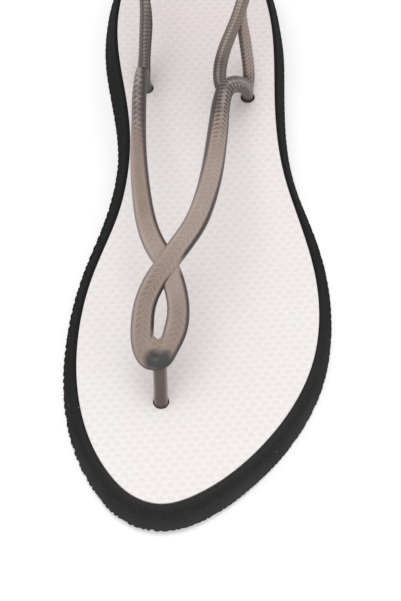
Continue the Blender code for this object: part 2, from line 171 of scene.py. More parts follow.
# Right strap: side hole, curl, instep, over the crossing, medial side of the loop, front of the loop
RIGHT_STRAP = [
    StrapRow(17.3, 159.4, -9.4, 1.00, 0.00, 0.00, 4.0, 4.0, 1.00),
    StrapRow(17.3, 159.4, -2.0, 1.00, 0.00, 0.00, 4.0, 4.0, 1.00),
    StrapRow(17.3, 159.4, 5.4, 1.00, 0.00, 0.00, 4.0, 4.0, 1.00),
    StrapRow(16.7, 157.6, 11.5, 0.90, -0.10, 0.40, 5.4, 3.6, 1.00),
    StrapRow(13.6, 154.2, 17.8, 0.55, 0.20, 0.80, 6.6, 3.4, 1.00),
    StrapRow(9.8, 149.4, 21.8, 0.25, 0.35, 0.90, 6.4, 3.4, 0.95),
    StrapRow(7.5, 141.0, 25.0, 0.35, 0.25, 0.90, 6.2, 3.4, 0.70),
    StrapRow(6.3, 127.5, 29.4, 0.40, 0.15, 0.90, 6.6, 3.6, 0.12),
    StrapRow(4.9, 111.0, 33.6, 0.30, 0.10, 0.95, 7.0, 3.8, -0.22),
    StrapRow(3.4, 98.3, 36.0, 0.20, 0.00, 0.98, 7.2, 4.0, -0.55),
    StrapRow(1.1, 87.0, 37.0, 0.10, -0.10, 0.99, 7.2, 4.0, -0.50),
    StrapRow(-2.3, 77.6, 36.7, 0.05, -0.25, 0.97, 7.1, 4.0, -0.45),
    StrapRow(-6.0, 71.8, 35.6, 0.00, -0.40, 0.92, 7.0, 4.0, -0.35),
    StrapRow(-10.2, 66.3, 33.4, 0.00, -0.50, 0.87, 7.0, 4.0, -0.20),
    StrapRow(-15.1, 60.3, 28.8, 0.00, -0.52, 0.85, 7.0, 4.0, 0.00),
    StrapRow(-17.6, 54.6, 24.6, 0.00, -0.52, 0.85, 7.0, 4.0, 0.00),
    StrapRow(-18.2, 48.6, 21.2, 0.00, -0.52, 0.85, 7.2, 4.2, 0.00),
    StrapRow(-17.9, 43.4, 18.3, 0.00, -0.52, 0.85, 6.2, 4.4, 0.00),
    StrapRow(-15.9, 40.5, 16.8, 0.00, -0.52, 0.85, 5.4, 4.4, 0.05),
    StrapRow(-13.0, 39.9, 16.5, 0.00, -0.52, 0.85, 4.6, 4.4, 0.15),
]

# Left strap: front of the loop, its lateral side, under the crossing, instep, curl, side hole
LEFT_STRAP = [
    StrapRow(-15.2, 40.1, 16.6, 0.00, -0.52, 0.85, 4.2, 3.8, 0.15),
    StrapRow(-12.3, 40.4, 16.8, 0.00, -0.52, 0.85, 5.2, 4.0, 0.10),
    StrapRow(-10.2, 43.4, 18.3, 0.00, -0.52, 0.85, 6.2, 4.2, 0.05),
    StrapRow(-7.9, 48.6, 21.2, 0.00, -0.52, 0.85, 7.2, 4.2, 0.00),
    StrapRow(-6.9, 54.6, 24.2, 0.00, -0.52, 0.85, 7.0, 4.0, -0.05),
    StrapRow(-7.9, 60.2, 28.3, 0.00, -0.52, 0.85, 7.0, 4.0, -0.60),
    StrapRow(-11.0, 66.9, 32.6, 0.00, -0.50, 0.87, 7.0, 4.0, -0.50),
    StrapRow(-14.2, 72.0, 34.4, 0.00, -0.40, 0.92, 6.9, 4.0, -0.40),
    StrapRow(-16.7, 78.4, 35.8, -0.05, -0.25, 0.97, 6.6, 4.0, -0.08),
    StrapRow(-18.4, 87.4, 36.5, -0.05, -0.10, 0.99, 6.2, 4.0, 0.00),
    StrapRow(-19.6, 98.3, 36.0, -0.10, 0.00, 0.99, 5.8, 3.8, 0.00),
    StrapRow(-20.4, 111.0, 33.6, -0.15, 0.10, 0.98, 5.3, 3.6, 0.08),
    StrapRow(-20.9, 127.5, 29.4, -0.20, 0.15, 0.97, 4.9, 3.4, 0.30),
    StrapRow(-21.2, 143.0, 25.6, -0.25, 0.25, 0.94, 4.9, 3.4, 0.60),
    StrapRow(-21.0, 154.5, 22.6, -0.35, 0.40, 0.85, 4.4, 3.4, 0.85),
    StrapRow(-20.8, 161.4, 17.4, -0.60, 0.65, 0.45, 4.2, 3.4, 1.00),
    StrapRow(-20.4, 163.6, 9.8, -0.85, 0.45, 0.15, 4.3, 3.6, 1.00),
    StrapRow(-19.9, 163.4, 5.4, -1.00, 0.00, 0.00, 4.0, 4.0, 1.00),
    StrapRow(-19.9, 163.4, -2.0, -1.00, 0.00, 0.00, 4.0, 4.0, 1.00),
    StrapRow(-19.9, 163.4, -9.4, -1.00, 0.00, 0.00, 4.0, 4.0, 1.00),
]

# Heel band with the upper leg of each side, from the right instep strap round the heel to the left one
HEEL_BAND = [
    StrapRow(8.0, 144.5, 23.0, 0.60, 0.20, 0.75, 4.4, 2.6, 0.90),
    StrapRow(6.8, 151.0, 22.8, 0.70, 0.10, 0.68, 5.0, 3.0, 0.85),
    StrapRow(7.2, 158.5, 24.4, 0.80, 0.00, 0.55, 5.2, 3.2, 0.30),
    StrapRow(9.5, 165.8, 27.4, 0.88, 0.00, 0.45, 5.2, 3.2, -0.25),
    StrapRow(12.2, 171.8, 30.6, 0.93, 0.00, 0.35, 5.4, 3.2, -0.25),
    StrapRow(14.6, 177.8, 33.8, 0.97, 0.00, 0.20, 6.4, 3.4, -0.05),
    StrapRow(17.4, 188.0, 37.0, 1.00, 0.05, 0.10, 7.4, 3.4, 0.00),
    StrapRow(19.2, 201.0, 40.0, 0.95, 0.30, 0.05, 7.8, 3.4, 0.05),
    StrapRow(17.8, 215.0, 43.4, 0.80, 0.60, 0.00, 8.0, 3.4, 0.05),
    StrapRow(11.4, 226.5, 46.4, 0.50, 0.87, 0.00, 8.2, 3.4, 0.05),
    StrapRow(-2.6, 232.5, 48.0, 0.00, 1.00, 0.00, 8.4, 3.4, 0.05),
    StrapRow(-16.6, 227.5, 46.4, -0.50, 0.87, 0.00, 8.2, 3.4, 0.05),
    StrapRow(-23.4, 216.0, 43.4, -0.80, 0.60, 0.00, 8.0, 3.4, 0.05),
    StrapRow(-24.6, 202.0, 40.2, -0.95, 0.30, 0.05, 7.8, 3.4, 0.05),
    StrapRow(-21.8, 190.0, 37.4, -1.00, 0.05, 0.10, 7.4, 3.4, 0.45),
    StrapRow(-19.9, 180.5, 34.2, -0.97, 0.00, 0.20, 6.2, 3.2, 0.60),
    StrapRow(-19.8, 172.0, 30.4, -0.93, 0.00, 0.35, 5.0, 3.0, 0.70),
    StrapRow(-20.0, 166.0, 26.4, -0.88, 0.00, 0.45, 4.6, 3.0, 0.80),
    StrapRow(-20.3, 160.5, 22.6, -0.80, 0.00, 0.55, 4.4, 2.8, 0.85),
    StrapRow(-20.9, 153.5, 20.6, -0.60, 0.10, 0.75, 3.6, 2.4, 0.85),
]

# Lower leg of each side, from the side stem up into the heel band
RIGHT_LEG = [
    StrapRow(17.3, 159.5, 6.2, 0.90, -0.30, 0.20, 3.0, 2.6, 1.00),
    StrapRow(17.6, 162.2, 9.4, 0.80, -0.50, 0.33, 4.4, 2.8, 0.70),
    StrapRow(17.5, 165.4, 13.4, 0.77, -0.53, 0.35, 4.8, 2.8, 0.05),
    StrapRow(16.8, 168.6, 18.2, 0.77, -0.53, 0.35, 4.8, 2.8, -0.15),
    StrapRow(15.9, 171.8, 23.0, 0.80, -0.50, 0.33, 4.8, 2.8, -0.20),
    StrapRow(14.8, 176.4, 29.4, 0.90, -0.30, 0.25, 4.6, 2.8, -0.15),
    StrapRow(15.5, 182.0, 34.8, 1.00, 0.00, 0.15, 4.4, 2.4, 0.00),
]
LEFT_LEG = [
    StrapRow(-19.9, 163.5, 6.6, -1.00, 0.00, 0.00, 3.0, 2.6, 1.00),
    StrapRow(-19.9, 166.6, 9.6, -1.00, 0.00, 0.05, 4.4, 3.0, 0.80),
    StrapRow(-19.8, 170.2, 13.4, -1.00, 0.00, 0.05, 4.8, 3.0, 0.60),
    StrapRow(-19.4, 173.6, 18.2, -1.00, 0.00, 0.10, 5.0, 3.0, 0.60),
    StrapRow(-19.0, 176.8, 23.0, -1.00, 0.00, 0.15, 5.0, 3.0, 0.60),
    StrapRow(-19.3, 181.4, 29.6, -1.00, 0.00, 0.20, 4.8, 2.8, 0.55),
    StrapRow(-21.2, 186.8, 35.4, -1.00, 0.00, 0.15, 4.4, 2.4, 0.50),
]

# Web that fills the front of the loop over the toe post
LOOP_PAD = [
    StrapRow(-14.2, 39.8, 16.6, 0.00, -0.52, 0.85, 5.0, 3.8, 0.15),
    StrapRow(-13.7, 43.0, 18.2, 0.00, -0.52, 0.85, 7.4, 4.2, 0.05),
    StrapRow(-13.2, 46.4, 20.0, 0.00, -0.52, 0.85, 6.8, 4.0, 0.00),
]

# Toe post: underneath, footbed level and inside the loop's front
POST_SIZE = (1.0, 0.0, 0.0, 2.0 * POST_RADIUS, 2.0 * POST_RADIUS)
TOE_POST = [
    StrapRow(-12.6, 35.2, -9.4, *POST_SIZE, 1.00),
    StrapRow(-12.6, 35.2, -4.5, *POST_SIZE, 1.00),
    StrapRow(-12.6, 35.2, 0.4, *POST_SIZE, 0.08),
    StrapRow(-12.6, 38.0, 10.0, *POST_SIZE, -0.22),
    StrapRow(-12.7, 40.6, 16.6, *POST_SIZE, 0.00),
]

Strap = namedtuple(
    "Strap", "name rows rib_way rib_stretch rib_contrast mid_ribs wrapped left_dark right_dark")

# Straps with the way their ribs point along the rows (1 back along them, -1 onwards, 0 no ribs),
# how much wider the ribs stand towards the heel, how strongly they show, how much more on the instep,
# whether they go round the strap, and how much painted shade their left and right sides take
STRAPS = [
    Strap("right_strap", RIGHT_STRAP, 1.0, 0.3, 1.0, 0.7, False, 0.9, 1.0),
    Strap("left_strap", LEFT_STRAP, -1.0, 0.6, 0.5, -0.75, False, 0.2, 1.0),
    Strap("heel_band", HEEL_BAND, -1.0, -0.35, 0.4, 0.0, True, 0.65, 0.55),
    Strap("right_leg", RIGHT_LEG, -1.0, -0.3, 0.4, 0.0, True, 0.7, 0.1),
    Strap("left_leg", LEFT_LEG, -1.0, -0.35, 0.4, 0.0, True, 0.3, 0.65),
    Strap("loop_pad", LOOP_PAD, -1.0, 0.0, 1.0, 0.0, False, 0.0, 0.0),
    Strap("toe_post", TOE_POST, 0.0, 0.0, 0.0, 0.0, False, 0.0, 0.2),
]

FlushSpot = namedtuple("FlushSpot", "name across station lift inner outer")

# Where the straps lie flush on each other, and the distances over which the painted shade on their edges
# fades
FLUSH_SPOTS = [
    FlushSpot("crossing", -10.4, 66.2, 33.4, 3.2, 6.5),
    FlushSpot("loop front", -13.5, 43.6, 20.2, 2.6, 6.8),
]

# Front end of the loop's eye: its middle line and half its width
EYE_MIDDLE = -13.4
EYE_HALF_WIDTH = 1.35

# Glossy bare patch on the front of the loop, and a pale scuff on the wall: middle and half size
PATCH_PLACE = (-13.0, 39.9, 18.4)
PATCH_SIZE = (5.2, 3.2, 3.2)
SCUFF_PLACE = (-33.0, 185.2, -1.0)
SCUFF_SIZE = (3.6, 0.7, 6.0)

# Stretches along the straps, as stations: greyer, ribs further apart, curl, painted shade on the sides,
# loop's front with its painted shade
GREY_STRETCH = (106.0, 130.0)
RIB_SPREAD_STRETCH = (95.0, 130.0)
CURL_STRETCH = (148.0, 154.0)
DARK_SIDE_STRETCH = (80.0, 110.0)
LOOP_FRONT_STRETCH = (42.0, 46.0)

# Middle and reach of the instep, line between the two straps, and lifts over which the painted shade on the
# stem by its hole fades
INSTEP_MIDDLE = 96.0
INSTEP_REACH = 22.0
STRAPS_MIDDLE = -6.0
STEM_LIFTS = (6.5, 10.0)

SectionPart = namedtuple("SectionPart", "kind side face share")

# Strap section, once round from its outer face: share of the points on each part
SECTION = [
    SectionPart("face", 0, 1, 0.42),
    SectionPart("corner", -1, 1, 0.09),
    SectionPart("edge", -1, 0, 0.05),
    SectionPart("corner", -1, -1, 0.09),
    SectionPart("face", 0, -1, 0.12),
    SectionPart("corner", 1, -1, 0.09),
    SectionPart("edge", 1, 0, 0.05),
    SectionPart("corner", 1, 1, 0.09),
]

# A strap's middle line ring by ring, and its surface round each ring
Course = namedtuple("Course", "middle run along face side width thickness station tone grey curl")
Surface = namedtuple("Surface", "sides faces ways facing to_edge to_right outer under")


def smooth_step(value, low, high):
    """Ease from 0 at low to 1 at high."""
    share = np.clip((np.asarray(value, dtype=float) - low) / (high - low), 0.0, 1.0)
    return share * share * (3.0 - 2.0 * share)


def footbed_height(station):
    """Height of the footbed's surface above the floor."""
    return FOREFOOT_THICKNESS + HEEL_RISE * smooth_step(station, RISE_START, RISE_END)


def underside_height(station):
    """Height of the sole's underside, flat but for the toe spring."""
    share = np.maximum(TOE_SPRING_START - station, 0.0) / TOE_SPRING_START
    return TOE_SPRING * share * share


def place(points):
    """Measuring-frame millimetres, height above the floor, as metres in the part's frame."""
    return (np.asarray(points, dtype=float) - (CENTRE_ACROSS, CENTRE_STATION, 0.0)) * MM


def spline_through(rows, closed, steps_per_row):
    """Sample a cubic spline through the rows, with the same number of steps from each row to the next."""
    points = np.array(rows, dtype=float)
    if closed:
        points = np.vstack([points, points[:1]])
    steps = np.linalg.norm(np.diff(points[:, :3], axis=0), axis=1)
    size = len(points)
    system = np.zeros((size, size))
    right = np.zeros_like(points)
    for i in range(1, size - 1):
        system[i, i - 1] = steps[i - 1]
        system[i, i] = 2.0 * (steps[i - 1] + steps[i])
        system[i, i + 1] = steps[i]
        slope_after = (points[i + 1] - points[i]) / steps[i]
        slope_before = (points[i] - points[i - 1]) / steps[i - 1]
        right[i] = 6.0 * (slope_after - slope_before)
    if closed:
        system[0, 0] = 2.0 * (steps[-1] + steps[0])
        system[0, 1] = steps[0]
        system[0, -2] = steps[-1]
        right[0] = 6.0 * ((points[1] - points[0]) / steps[0] - (points[-1] - points[-2]) / steps[-1])
        system[-1, 0] = 1.0
        system[-1, -1] = -1.0
    else:
        system[0, 0] = 1.0
        system[-1, -1] = 1.0
    bend = np.linalg.solve(system, right)
    samples = []
    for i in range(size - 1):
        span = steps[i]
        for before in np.arange(steps_per_row) * span / steps_per_row:
            after = span - before
            value = (bend[i] * after**3 + bend[i + 1] * before**3) / (6.0 * span)
            value += (points[i] / span - bend[i] * span / 6.0) * after
            value += (points[i + 1] / span - bend[i + 1] * span / 6.0) * before
            samples.append(value)
    samples.append(points[-1])
    return np.array(samples)


def resample(points, count):
    """Points at equal distances along a row of points, and their distance from its start."""
    steps = np.linalg.norm(np.diff(points[:, :3], axis=0), axis=1)
    run = np.concatenate([[0.0], np.cumsum(steps)])
    at = np.linspace(0.0, run[-1], count)
    columns = [np.interp(at, run, points[:, k]) for k in range(points.shape[1])]
    return np.column_stack(columns), at


def footbed_outline(side_points):
    """Footbed edge as a closed loop, with the same number of points on each side of toe and heel."""
    control = [(*TOE_TIP, 0.0)]
    control += [(row.medial, row.station, 0.0) for row in FOOTBED_EDGE]
    control.append((*HEEL_TIP, 0.0))
    control += [(row.lateral, row.station, 0.0) for row in reversed(FOOTBED_EDGE)]
    dense = spline_through(control, True, OUTLINE_STEPS)
    toe = int(np.argmin(dense[:, 1]))
    dense = np.roll(dense[:-1], -toe, axis=0)
    dense = np.vstack([dense, dense[:1]])
    heel = int(np.argmax(dense[:, 1]))
    medial, _ = resample(dense[:heel + 1], side_points + 1)
    lateral, _ = resample(dense[heel:], side_points + 1)
    return np.vstack([medial[:-1], lateral[:-1]])[:, :2]


def outward_normals(loop):
    """Unit normals of the closed loop, pointing away from the sole."""
    along = np.roll(loop, -1, axis=0) - np.roll(loop, 1, axis=0)
    normals = np.column_stack([-along[:, 1], along[:, 0]])
    return normals / np.linalg.norm(normals, axis=1)[:, None]


def flare_at(station, outward):
    """Distance from the footbed edge out to the foot of the wall, with more beside the big toe."""
    toe = station / TOE_FLARE_REACH
    waist = (station - WAIST_FLARE_STATION) / WAIST_FLARE_REACH
    flare = FLARE + TOE_FLARE_EXTRA * np.exp(-toe * toe) + WAIST_FLARE_EXTRA * np.exp(-waist * waist)
    medial = 1.0 - smooth_step(station, MEDIAL_FLARE_START, MEDIAL_FLARE_END)
    flare += MEDIAL_FLARE_EXTRA * medial * np.maximum(-outward, 0.0)
    return flare + HEEL_FLARE_EXTRA * smooth_step(station, HEEL_FLARE_START, HEEL_FLARE_END)


def spine_of(loop):
    """Middle line of the sole for each point of its outline, ending in a pole short of toe and heel."""
    count = len(loop)
    partner = loop[(-np.arange(count)) % count]
    middle = 0.5 * (loop + partner)
    half = count // 2
    order = np.argsort(middle[:half + 1, 1])
    stations = middle[:half + 1, 1][order]
    across = middle[:half + 1, 0][order]
    station = np.clip(middle[:, 1], SPINE_END, HEEL_TIP[1] - SPINE_END)
    return np.column_stack([np.interp(station, stations, across), station])


def run_along(loop):
    """Distance along the closed loop at each of its points."""
    steps = np.linalg.norm(np.roll(loop, -1, axis=0) - loop, axis=1)
    return np.concatenate([[0.0], np.cumsum(steps)[:-1]])


def skin(name, rings, marks):
    """Closed piece through equal rings of points: a grid is laid out, then moved onto them and welded."""
    count, around = rings.shape[:2]
    mesh = bmesh.new()
    bmesh.ops.create_grid(mesh, x_segments=around, y_segments=count - 1, size=1.0)
    for mark_name in marks:
        mesh.verts.layers.float_vector.new(mark_name)
    stores = [(mesh.verts.layers.float_vector[mark_name], marks[mark_name]) for mark_name in marks]
    spots = place(rings.reshape(-1, 3)).reshape(rings.shape)
    for vert in mesh.verts:
        turn = round((vert.co.x + 1.0) * 0.5 * around) % around
        ring = round((vert.co.y + 1.0) * 0.5 * (count - 1))
        for store, values in stores:
            vert[store] = values[ring, turn]
        vert.co = spots[ring, turn]
    bmesh.ops.remove_doubles(mesh, verts=mesh.verts, dist=MERGE_DISTANCE)
    bmesh.ops.dissolve_degenerate(mesh, dist=MERGE_DISTANCE, edges=mesh.edges)
    return finish_piece(name, mesh)


def finish_piece(name, mesh):
    """Turn a bmesh into a smooth-shaded object in the scene."""
    bmesh.ops.recalc_face_normals(mesh, faces=mesh.faces)
    data = bpy.data.meshes.new(name)
    mesh.to_mesh(data)
    mesh.free()
    data.shade_smooth()
    data.set_sharp_from_angle(angle=SHARP_ANGLE)
    obj = bpy.data.objects.new(name, data)
    bpy.context.scene.collection.objects.link(obj)
    return obj


def settle(obj, slot, material):
    """Give a piece its finish and fix it to the part."""
    obj.data.materials.append(material)
    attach(obj, "root")
    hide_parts(slot)


def round_bar(across, station, profile):
    """Upright round bar through (radius, height) steps, bottom to top, closed at both ends."""
    mesh = bmesh.new()
    rings = []
    for radius, height in profile:
        spot = Matrix.Translation(Vector(place((across, station, height))))
        made = bmesh.ops.create_circle(mesh, segments=HOLE_SIDES, radius=radius * MM, matrix=spot)
        edges = {edge for vert in made["verts"] for edge in vert.link_edges}
        rings.append(list(edges))
    for first, second in zip(rings, rings[1:]):
        bmesh.ops.bridge_loops(mesh, edges=first + second)
    bmesh.ops.holes_fill(mesh, edges=rings[0] + rings[-1], sides=0)
    return mesh


def anchors():
    """Place of the three points where the upper goes into the sole."""
    return [row[:2] for row in (TOE_POST[0], RIGHT_STRAP[0], LEFT_STRAP[-1])]


def cut_holes(obj, with_recess):
    """Cut the three strap holes, with the plug recesses below them where asked."""
    low = -CUTTER_REACH
    high = FOREFOOT_THICKNESS + HEEL_RISE + CUTTER_REACH
    cutters = []
    for number, (across, station) in enumerate(anchors()):
        profile = [(HOLE_RADIUS, low), (HOLE_RADIUS, high)]
        if with_recess:
            recess = [(PLUG_RECESS_RADIUS, low), (PLUG_RECESS_RADIUS, PLUG_RECESS_DEPTH)]
            profile = recess + [(HOLE_RADIUS, PLUG_RECESS_DEPTH), (HOLE_RADIUS, high)]
        cutter = finish_piece(f"{obj.name}_hole_{number}", round_bar(across, station, profile))
        modifier = obj.modifiers.new(cutter.name, "BOOLEAN")
        modifier.operation = "DIFFERENCE"
        modifier.solver = "EXACT"
        modifier.object = cutter
        cutters.append(cutter)
    ready = obj.evaluated_get(bpy.context.evaluated_depsgraph_get())
    cut = bpy.data.meshes.new_from_object(ready)
    obj.modifiers.clear()
    whole = obj.data
    obj.data = cut
    bpy.data.meshes.remove(whole)
    cut.name = obj.name
    for cutter in cutters:
        bpy.data.objects.remove(cutter)


def ring_of(points, height):
    """One ring of points in the measuring frame at the given heights."""
    return np.column_stack([points, np.broadcast_to(height, len(points))])


def outsole_rings(settings):
    """Rings of the sole from its recess, over the rim and down the wall, to the middle of the underside."""
    edge = footbed_outline(settings.outline_points)
    normals = outward_normals(edge)
    flare = flare_at(edge[:, 1], normals[:, 0])
    spine = spine_of(edge)
    run = run_along(edge)
    foot = edge + normals * flare[:, None]
    uneven = np.sin(NOTCH_WAVES[0] * run) * np.sin(NOTCH_WAVES[1] * run)
    notch = tread_grooves(foot, settings) * (0.65 + 0.35 * uneven)
    notch = notch * (1.0 - 0.6 * smooth_step(normals[:, 0], -0.2, 0.1))
    # Share of the wall facing the toe, less towards the heel: it carries painted light on the toe and
    # painted shade along the sides and back
    forwards = 0.15 * np.maximum(normals[:, 0], 0.0) - normals[:, 1]
    front = smooth_step(forwards - 0.3 * smooth_step(edge[:, 1], *DARK_WALL_STRETCH), -0.2, 0.9)
    depth = FOOTBED_THICKNESS + INLAY_GAP - FOOTBED_PROUD
    tread = settings.tread_depth * PER_METRE
    rings = []
    marks = []

    def add(points, height, down):
        rings.append(ring_of(points, height))
        marks.append(np.column_stack([run, np.full(len(run), down), front]))

    inner = edge + normals * INLAY_GAP
    for share in (0.0, 0.5, 1.0):
        floor = spine + (inner - spine) * share
        add(floor, footbed_height(floor[:, 1]) - depth, -1.0)
    add(inner, footbed_height(inner[:, 1]), -0.5)
    top = footbed_height(edge[:, 1])
    before = None
    for row in WALL:
        for k in range(row.rings):
            share = (k + 1) / row.rings
            down = row.down if before is None else before.down + (row.down - before.down) * share
            out = row.out if before is None else before.out + (row.out - before.out) * share
            cut = settings.notch_depth * PER_METRE * notch * smooth_step(down, 0.82, 0.93)
            points = edge + normals * (RIM_WIDTH + (flare - RIM_WIDTH) * out - cut)[:, None]
            height = top + (underside_height(points[:, 1]) - top) * down
            add(points, height, down)
        before = row
    floor_height = underside_height(foot[:, 1])
    for row in FOOT:
        points = foot - normals * (row.inset + settings.notch_depth * PER_METRE * notch)[:, None]
        add(points, floor_height + row.lift + (tread - row.lift) * notch, row.down)
    inside = edge + normals * (flare - UNDERSIDE_INSET)[:, None]
    for share in (1.0, 0.6, 0.3, 0.0):
        points = spine + (inside - spine) * share
        add(points, underside_height(points[:, 1]) + tread, 1.2)
    return np.array(rings), {"wall_marks": np.array(marks)}


def tread_grooves(points, settings):
    """Share from 0 to 1 of the groove between the tread's diamonds at each place of the underside."""
    grooves = np.zeros(len(points))
    for way in (1.0, -1.0):
        turn = (points[:, 0] + way * points[:, 1]) / (settings.tread_pitch * PER_METRE)
        grooves = np.maximum(grooves, smooth_step(np.abs(turn - np.round(turn)), 0.26, 0.44))
    return grooves


def dimple_field(points, settings):
    """Share from 0 to 1 of a dimple's depth at each place of the footbed, deepest towards the heel."""
    pitch = settings.dimple_pitch * PER_METRE
    row_gap = settings.dimple_row_gap * PER_METRE
    turn = settings.dimple_turn
    across = points[:, 0] * math.cos(turn) + points[:, 1] * math.sin(turn)
    along = points[:, 1] * math.cos(turn) - points[:, 0] * math.sin(turn)
    row = np.round(along / row_gap)
    shift = 0.5 * np.mod(row, 2.0)
    column = np.round(across / pitch - shift) + shift
    side = 2.0 * (across - column * pitch) / (settings.dimple_width * PER_METRE)
    up = 2.0 * (along - row * row_gap) / (settings.dimple_length * PER_METRE)
    return np.clip(1.0 - side * side - up * up, 0.0, 1.0) * (0.6 + 0.4 * np.clip(up, -1.0, 1.0))


def footbed_rings(settings):
    """Rings of the footbed from the middle of its underside, round its edge, to the middle of its top."""
    edge = footbed_outline(settings.footbed_points)
    normals = outward_normals(edge)
    spine = spine_of(edge)
    round_edge = settings.footbed_round * PER_METRE
    rings = []
    marks = []

    def add(points, lift, border):
        dimple = dimple_field(points, settings) * (1.0 - border)
        height = footbed_height(points[:, 1]) + FOOTBED_PROUD + lift
        rings.append(ring_of(points, height - dimple * settings.dimple_depth * PER_METRE))
        marks.append(np.full((len(edge), 3), border))

    for share in (0.0, 0.5, 1.0):
        add(spine + (edge - spine) * share, -FOOTBED_THICKNESS, 1.0)
    add(edge, -round_edge, 1.0)
    for turn in (30.0, 60.0, 90.0):
        angle = math.radians(turn)
        inset = round_edge * (1.0 - math.cos(angle))
        add(edge - normals * inset, -round_edge * (1.0 - math.sin(angle)), 1.0)
    inner = edge - normals * round_edge
    count = settings.footbed_rings
    for k in range(1, count + 1):
        add(spine + (inner - spine) * (1.0 - k / count), 0.0, 0.0)
    return np.array(rings), {"footbed_marks": np.array(marks)}


def inside_loop(loop, points):
    """True for each point that lies inside the closed loop."""
    inside = np.zeros(len(points), dtype=bool)
    for first, second in zip(loop, np.roll(loop, -1, axis=0)):
        crosses = (first[1] > points[:, 1]) != (second[1] > points[:, 1])
        rise = second[1] - first[1] + TINY
        reach = first[0] + (points[:, 1] - first[1]) * (second[0] - first[0]) / rise
        inside ^= crosses & (points[:, 0] < reach)
    return inside


def tread_places(settings):
    """Middles of the tread's diamonds, in two offset grids, inside the sole's foot and off the plugs."""
    edge = footbed_outline(settings.tread_outline_points)
    normals = outward_normals(edge)
    flare = flare_at(edge[:, 1], normals[:, 0])
    foot = edge + normals * (flare - settings.tread_inset * PER_METRE)[:, None]
    pitch = settings.tread_pitch * PER_METRE
    low = np.floor(foot.min(axis=0) / pitch)
    high = np.ceil(foot.max(axis=0) / pitch)
    across, station = np.meshgrid(np.arange(low[0], high[0] + 1), np.arange(low[1], high[1] + 1))
    grid = np.column_stack([across.ravel(), station.ravel()]) * pitch
    grid = np.vstack([grid, grid + 0.5 * pitch])
    kept = inside_loop(foot, grid)
    for anchor in anchors():
        kept &= np.linalg.norm(grid - anchor, axis=1) > PLUG_RECESS_RADIUS + 0.5 * pitch
    return grid[kept]


def section_points(width, thickness, around):
    """Side and face distances round each strap section, and the surface's way at each point."""
    flatness = np.clip(width / thickness - 1.0, 0.0, 1.0)
    radius = np.minimum(width, thickness) * (ROUND_CORNER_SHARE - FLAT_CORNER_DROP * flatness)
    flat_side = (0.5 * width - radius)[:, None]
    flat_face = (0.5 * thickness - radius)[:, None]
    radius = radius[:, None]
    sides = []
    faces = []
    ways = []
    start = 0.0
    for turn, part in enumerate(SECTION):
        count = round((start + part.share) * around) - round(start * around)
        share = (np.arange(count) / count)[None, :]
        start += part.share
        if part.kind == "corner":
            angle = math.radians(45.0 * (turn + 1)) + math.radians(90.0) * share
            sides.append(part.side * flat_side + radius * np.cos(angle))
            faces.append(part.face * flat_face + radius * np.sin(angle))
            ways.append(np.cos(angle))
        elif part.kind == "face":
            sides.append(part.face * flat_side * (1.0 - 2.0 * share))
            faces.append(part.face * (flat_face + radius) + 0.0 * share)
            ways.append(0.0 * share)
        else:
            sides.append(part.side * (flat_side + radius) + 0.0 * share)
            faces.append(-part.side * flat_face * (1.0 - 2.0 * share))
            ways.append(part.side + 0.0 * share)
    return np.hstack(sides), np.hstack(faces), np.hstack(ways)


def bell(value, middle, half_width):
    """Share from 0 to 1 that falls away on both sides of a middle value."""
    off = (value - middle) / half_width
    return np.exp(-off * off)


def rib_relief(along, side, way, wide, settings):
    """Grooves between slanting ribs that meet on the strap's middle line, and the ribs' raised lips."""
    pitch = settings.rib_pitch * PER_METRE
    half_width = settings.groove_width * PER_METRE * wide
    phase = (along - way * settings.rib_slant * np.abs(side)) / pitch + 0.5 * (side < 0.0)
    off = (phase - np.round(phase)) * pitch
    groove = bell(off, 0.0, half_width)
    lip = bell(off, 1.9 * half_width, 0.6 * half_width)
    weave = np.abs(2.0 * (along / pitch - np.floor(along / pitch)) - 1.0) - 0.5
    return groove, np.maximum(lip, bell(side, settings.weave * PER_METRE * weave, 0.6 * half_width))


def strap_course(strap, settings):
    """Middle line of a strap with its directions, sizes and tones at every ring."""
    dense = spline_through(strap.rows, False, OUTLINE_STEPS)
    reach = np.linalg.norm(np.diff(dense[:, :3], axis=0), axis=1).sum()
    count = max(int(reach / (settings.ring_step * PER_METRE)), 8)
    table, run = resample(dense, count)
    middle = table[:, :3] + (0.0, 0.0, FOREFOOT_THICKNESS)
    along = np.gradient(middle, axis=0)
    along /= np.linalg.norm(along, axis=1)[:, None]
    face = table[:, 3:6]
    face = face - along * (face * along).sum(axis=1)[:, None]
    face /= np.linalg.norm(face, axis=1)[:, None]
    side = np.cross(along, face)
    station = middle[:, 1:2]
    tone = np.clip(table[:, 8:9], -1.0, 1.0)
    grey = np.maximum(smooth_step(tone, -0.05, 0.55), 0.8 * smooth_step(station, *GREY_STRETCH))
    curl = smooth_step(tone, 0.85, 0.97) * (strap.name == "right_strap")
    return Course(middle, run, along, face, side, table[:, 6:7], table[:, 7:8], station, tone, grey, curl)


def strap_surface(course, settings):
    """Section of a strap at every ring: distances from its middle line, and which way the surface looks."""
    sides, faces, ways = section_points(course.width[:, 0], course.thickness[:, 0], settings.section_points)
    height = faces / (0.5 * course.thickness)
    outer = smooth_step(height, 0.55, 0.95)
    under = smooth_step(-height, 0.3, 0.8)
    facing = np.sign(faces) * np.sqrt(np.clip(1.0 - ways * ways, 0.0, 1.0))
    to_edge = sides / (0.5 * course.width)
    to_right = course.side[:, :1] / (np.abs(course.side[:, :1]) + 0.15)
    return Surface(sides, faces, ways, facing, to_edge, to_right, outer, under)


def surface_points(course, sides, faces):
    """Points of a strap at the given side and face distances from its middle line."""
    points = course.middle[:, None, :] + sides[..., None] * course.side[:, None, :]
    return points + faces[..., None] * course.face[:, None, :]


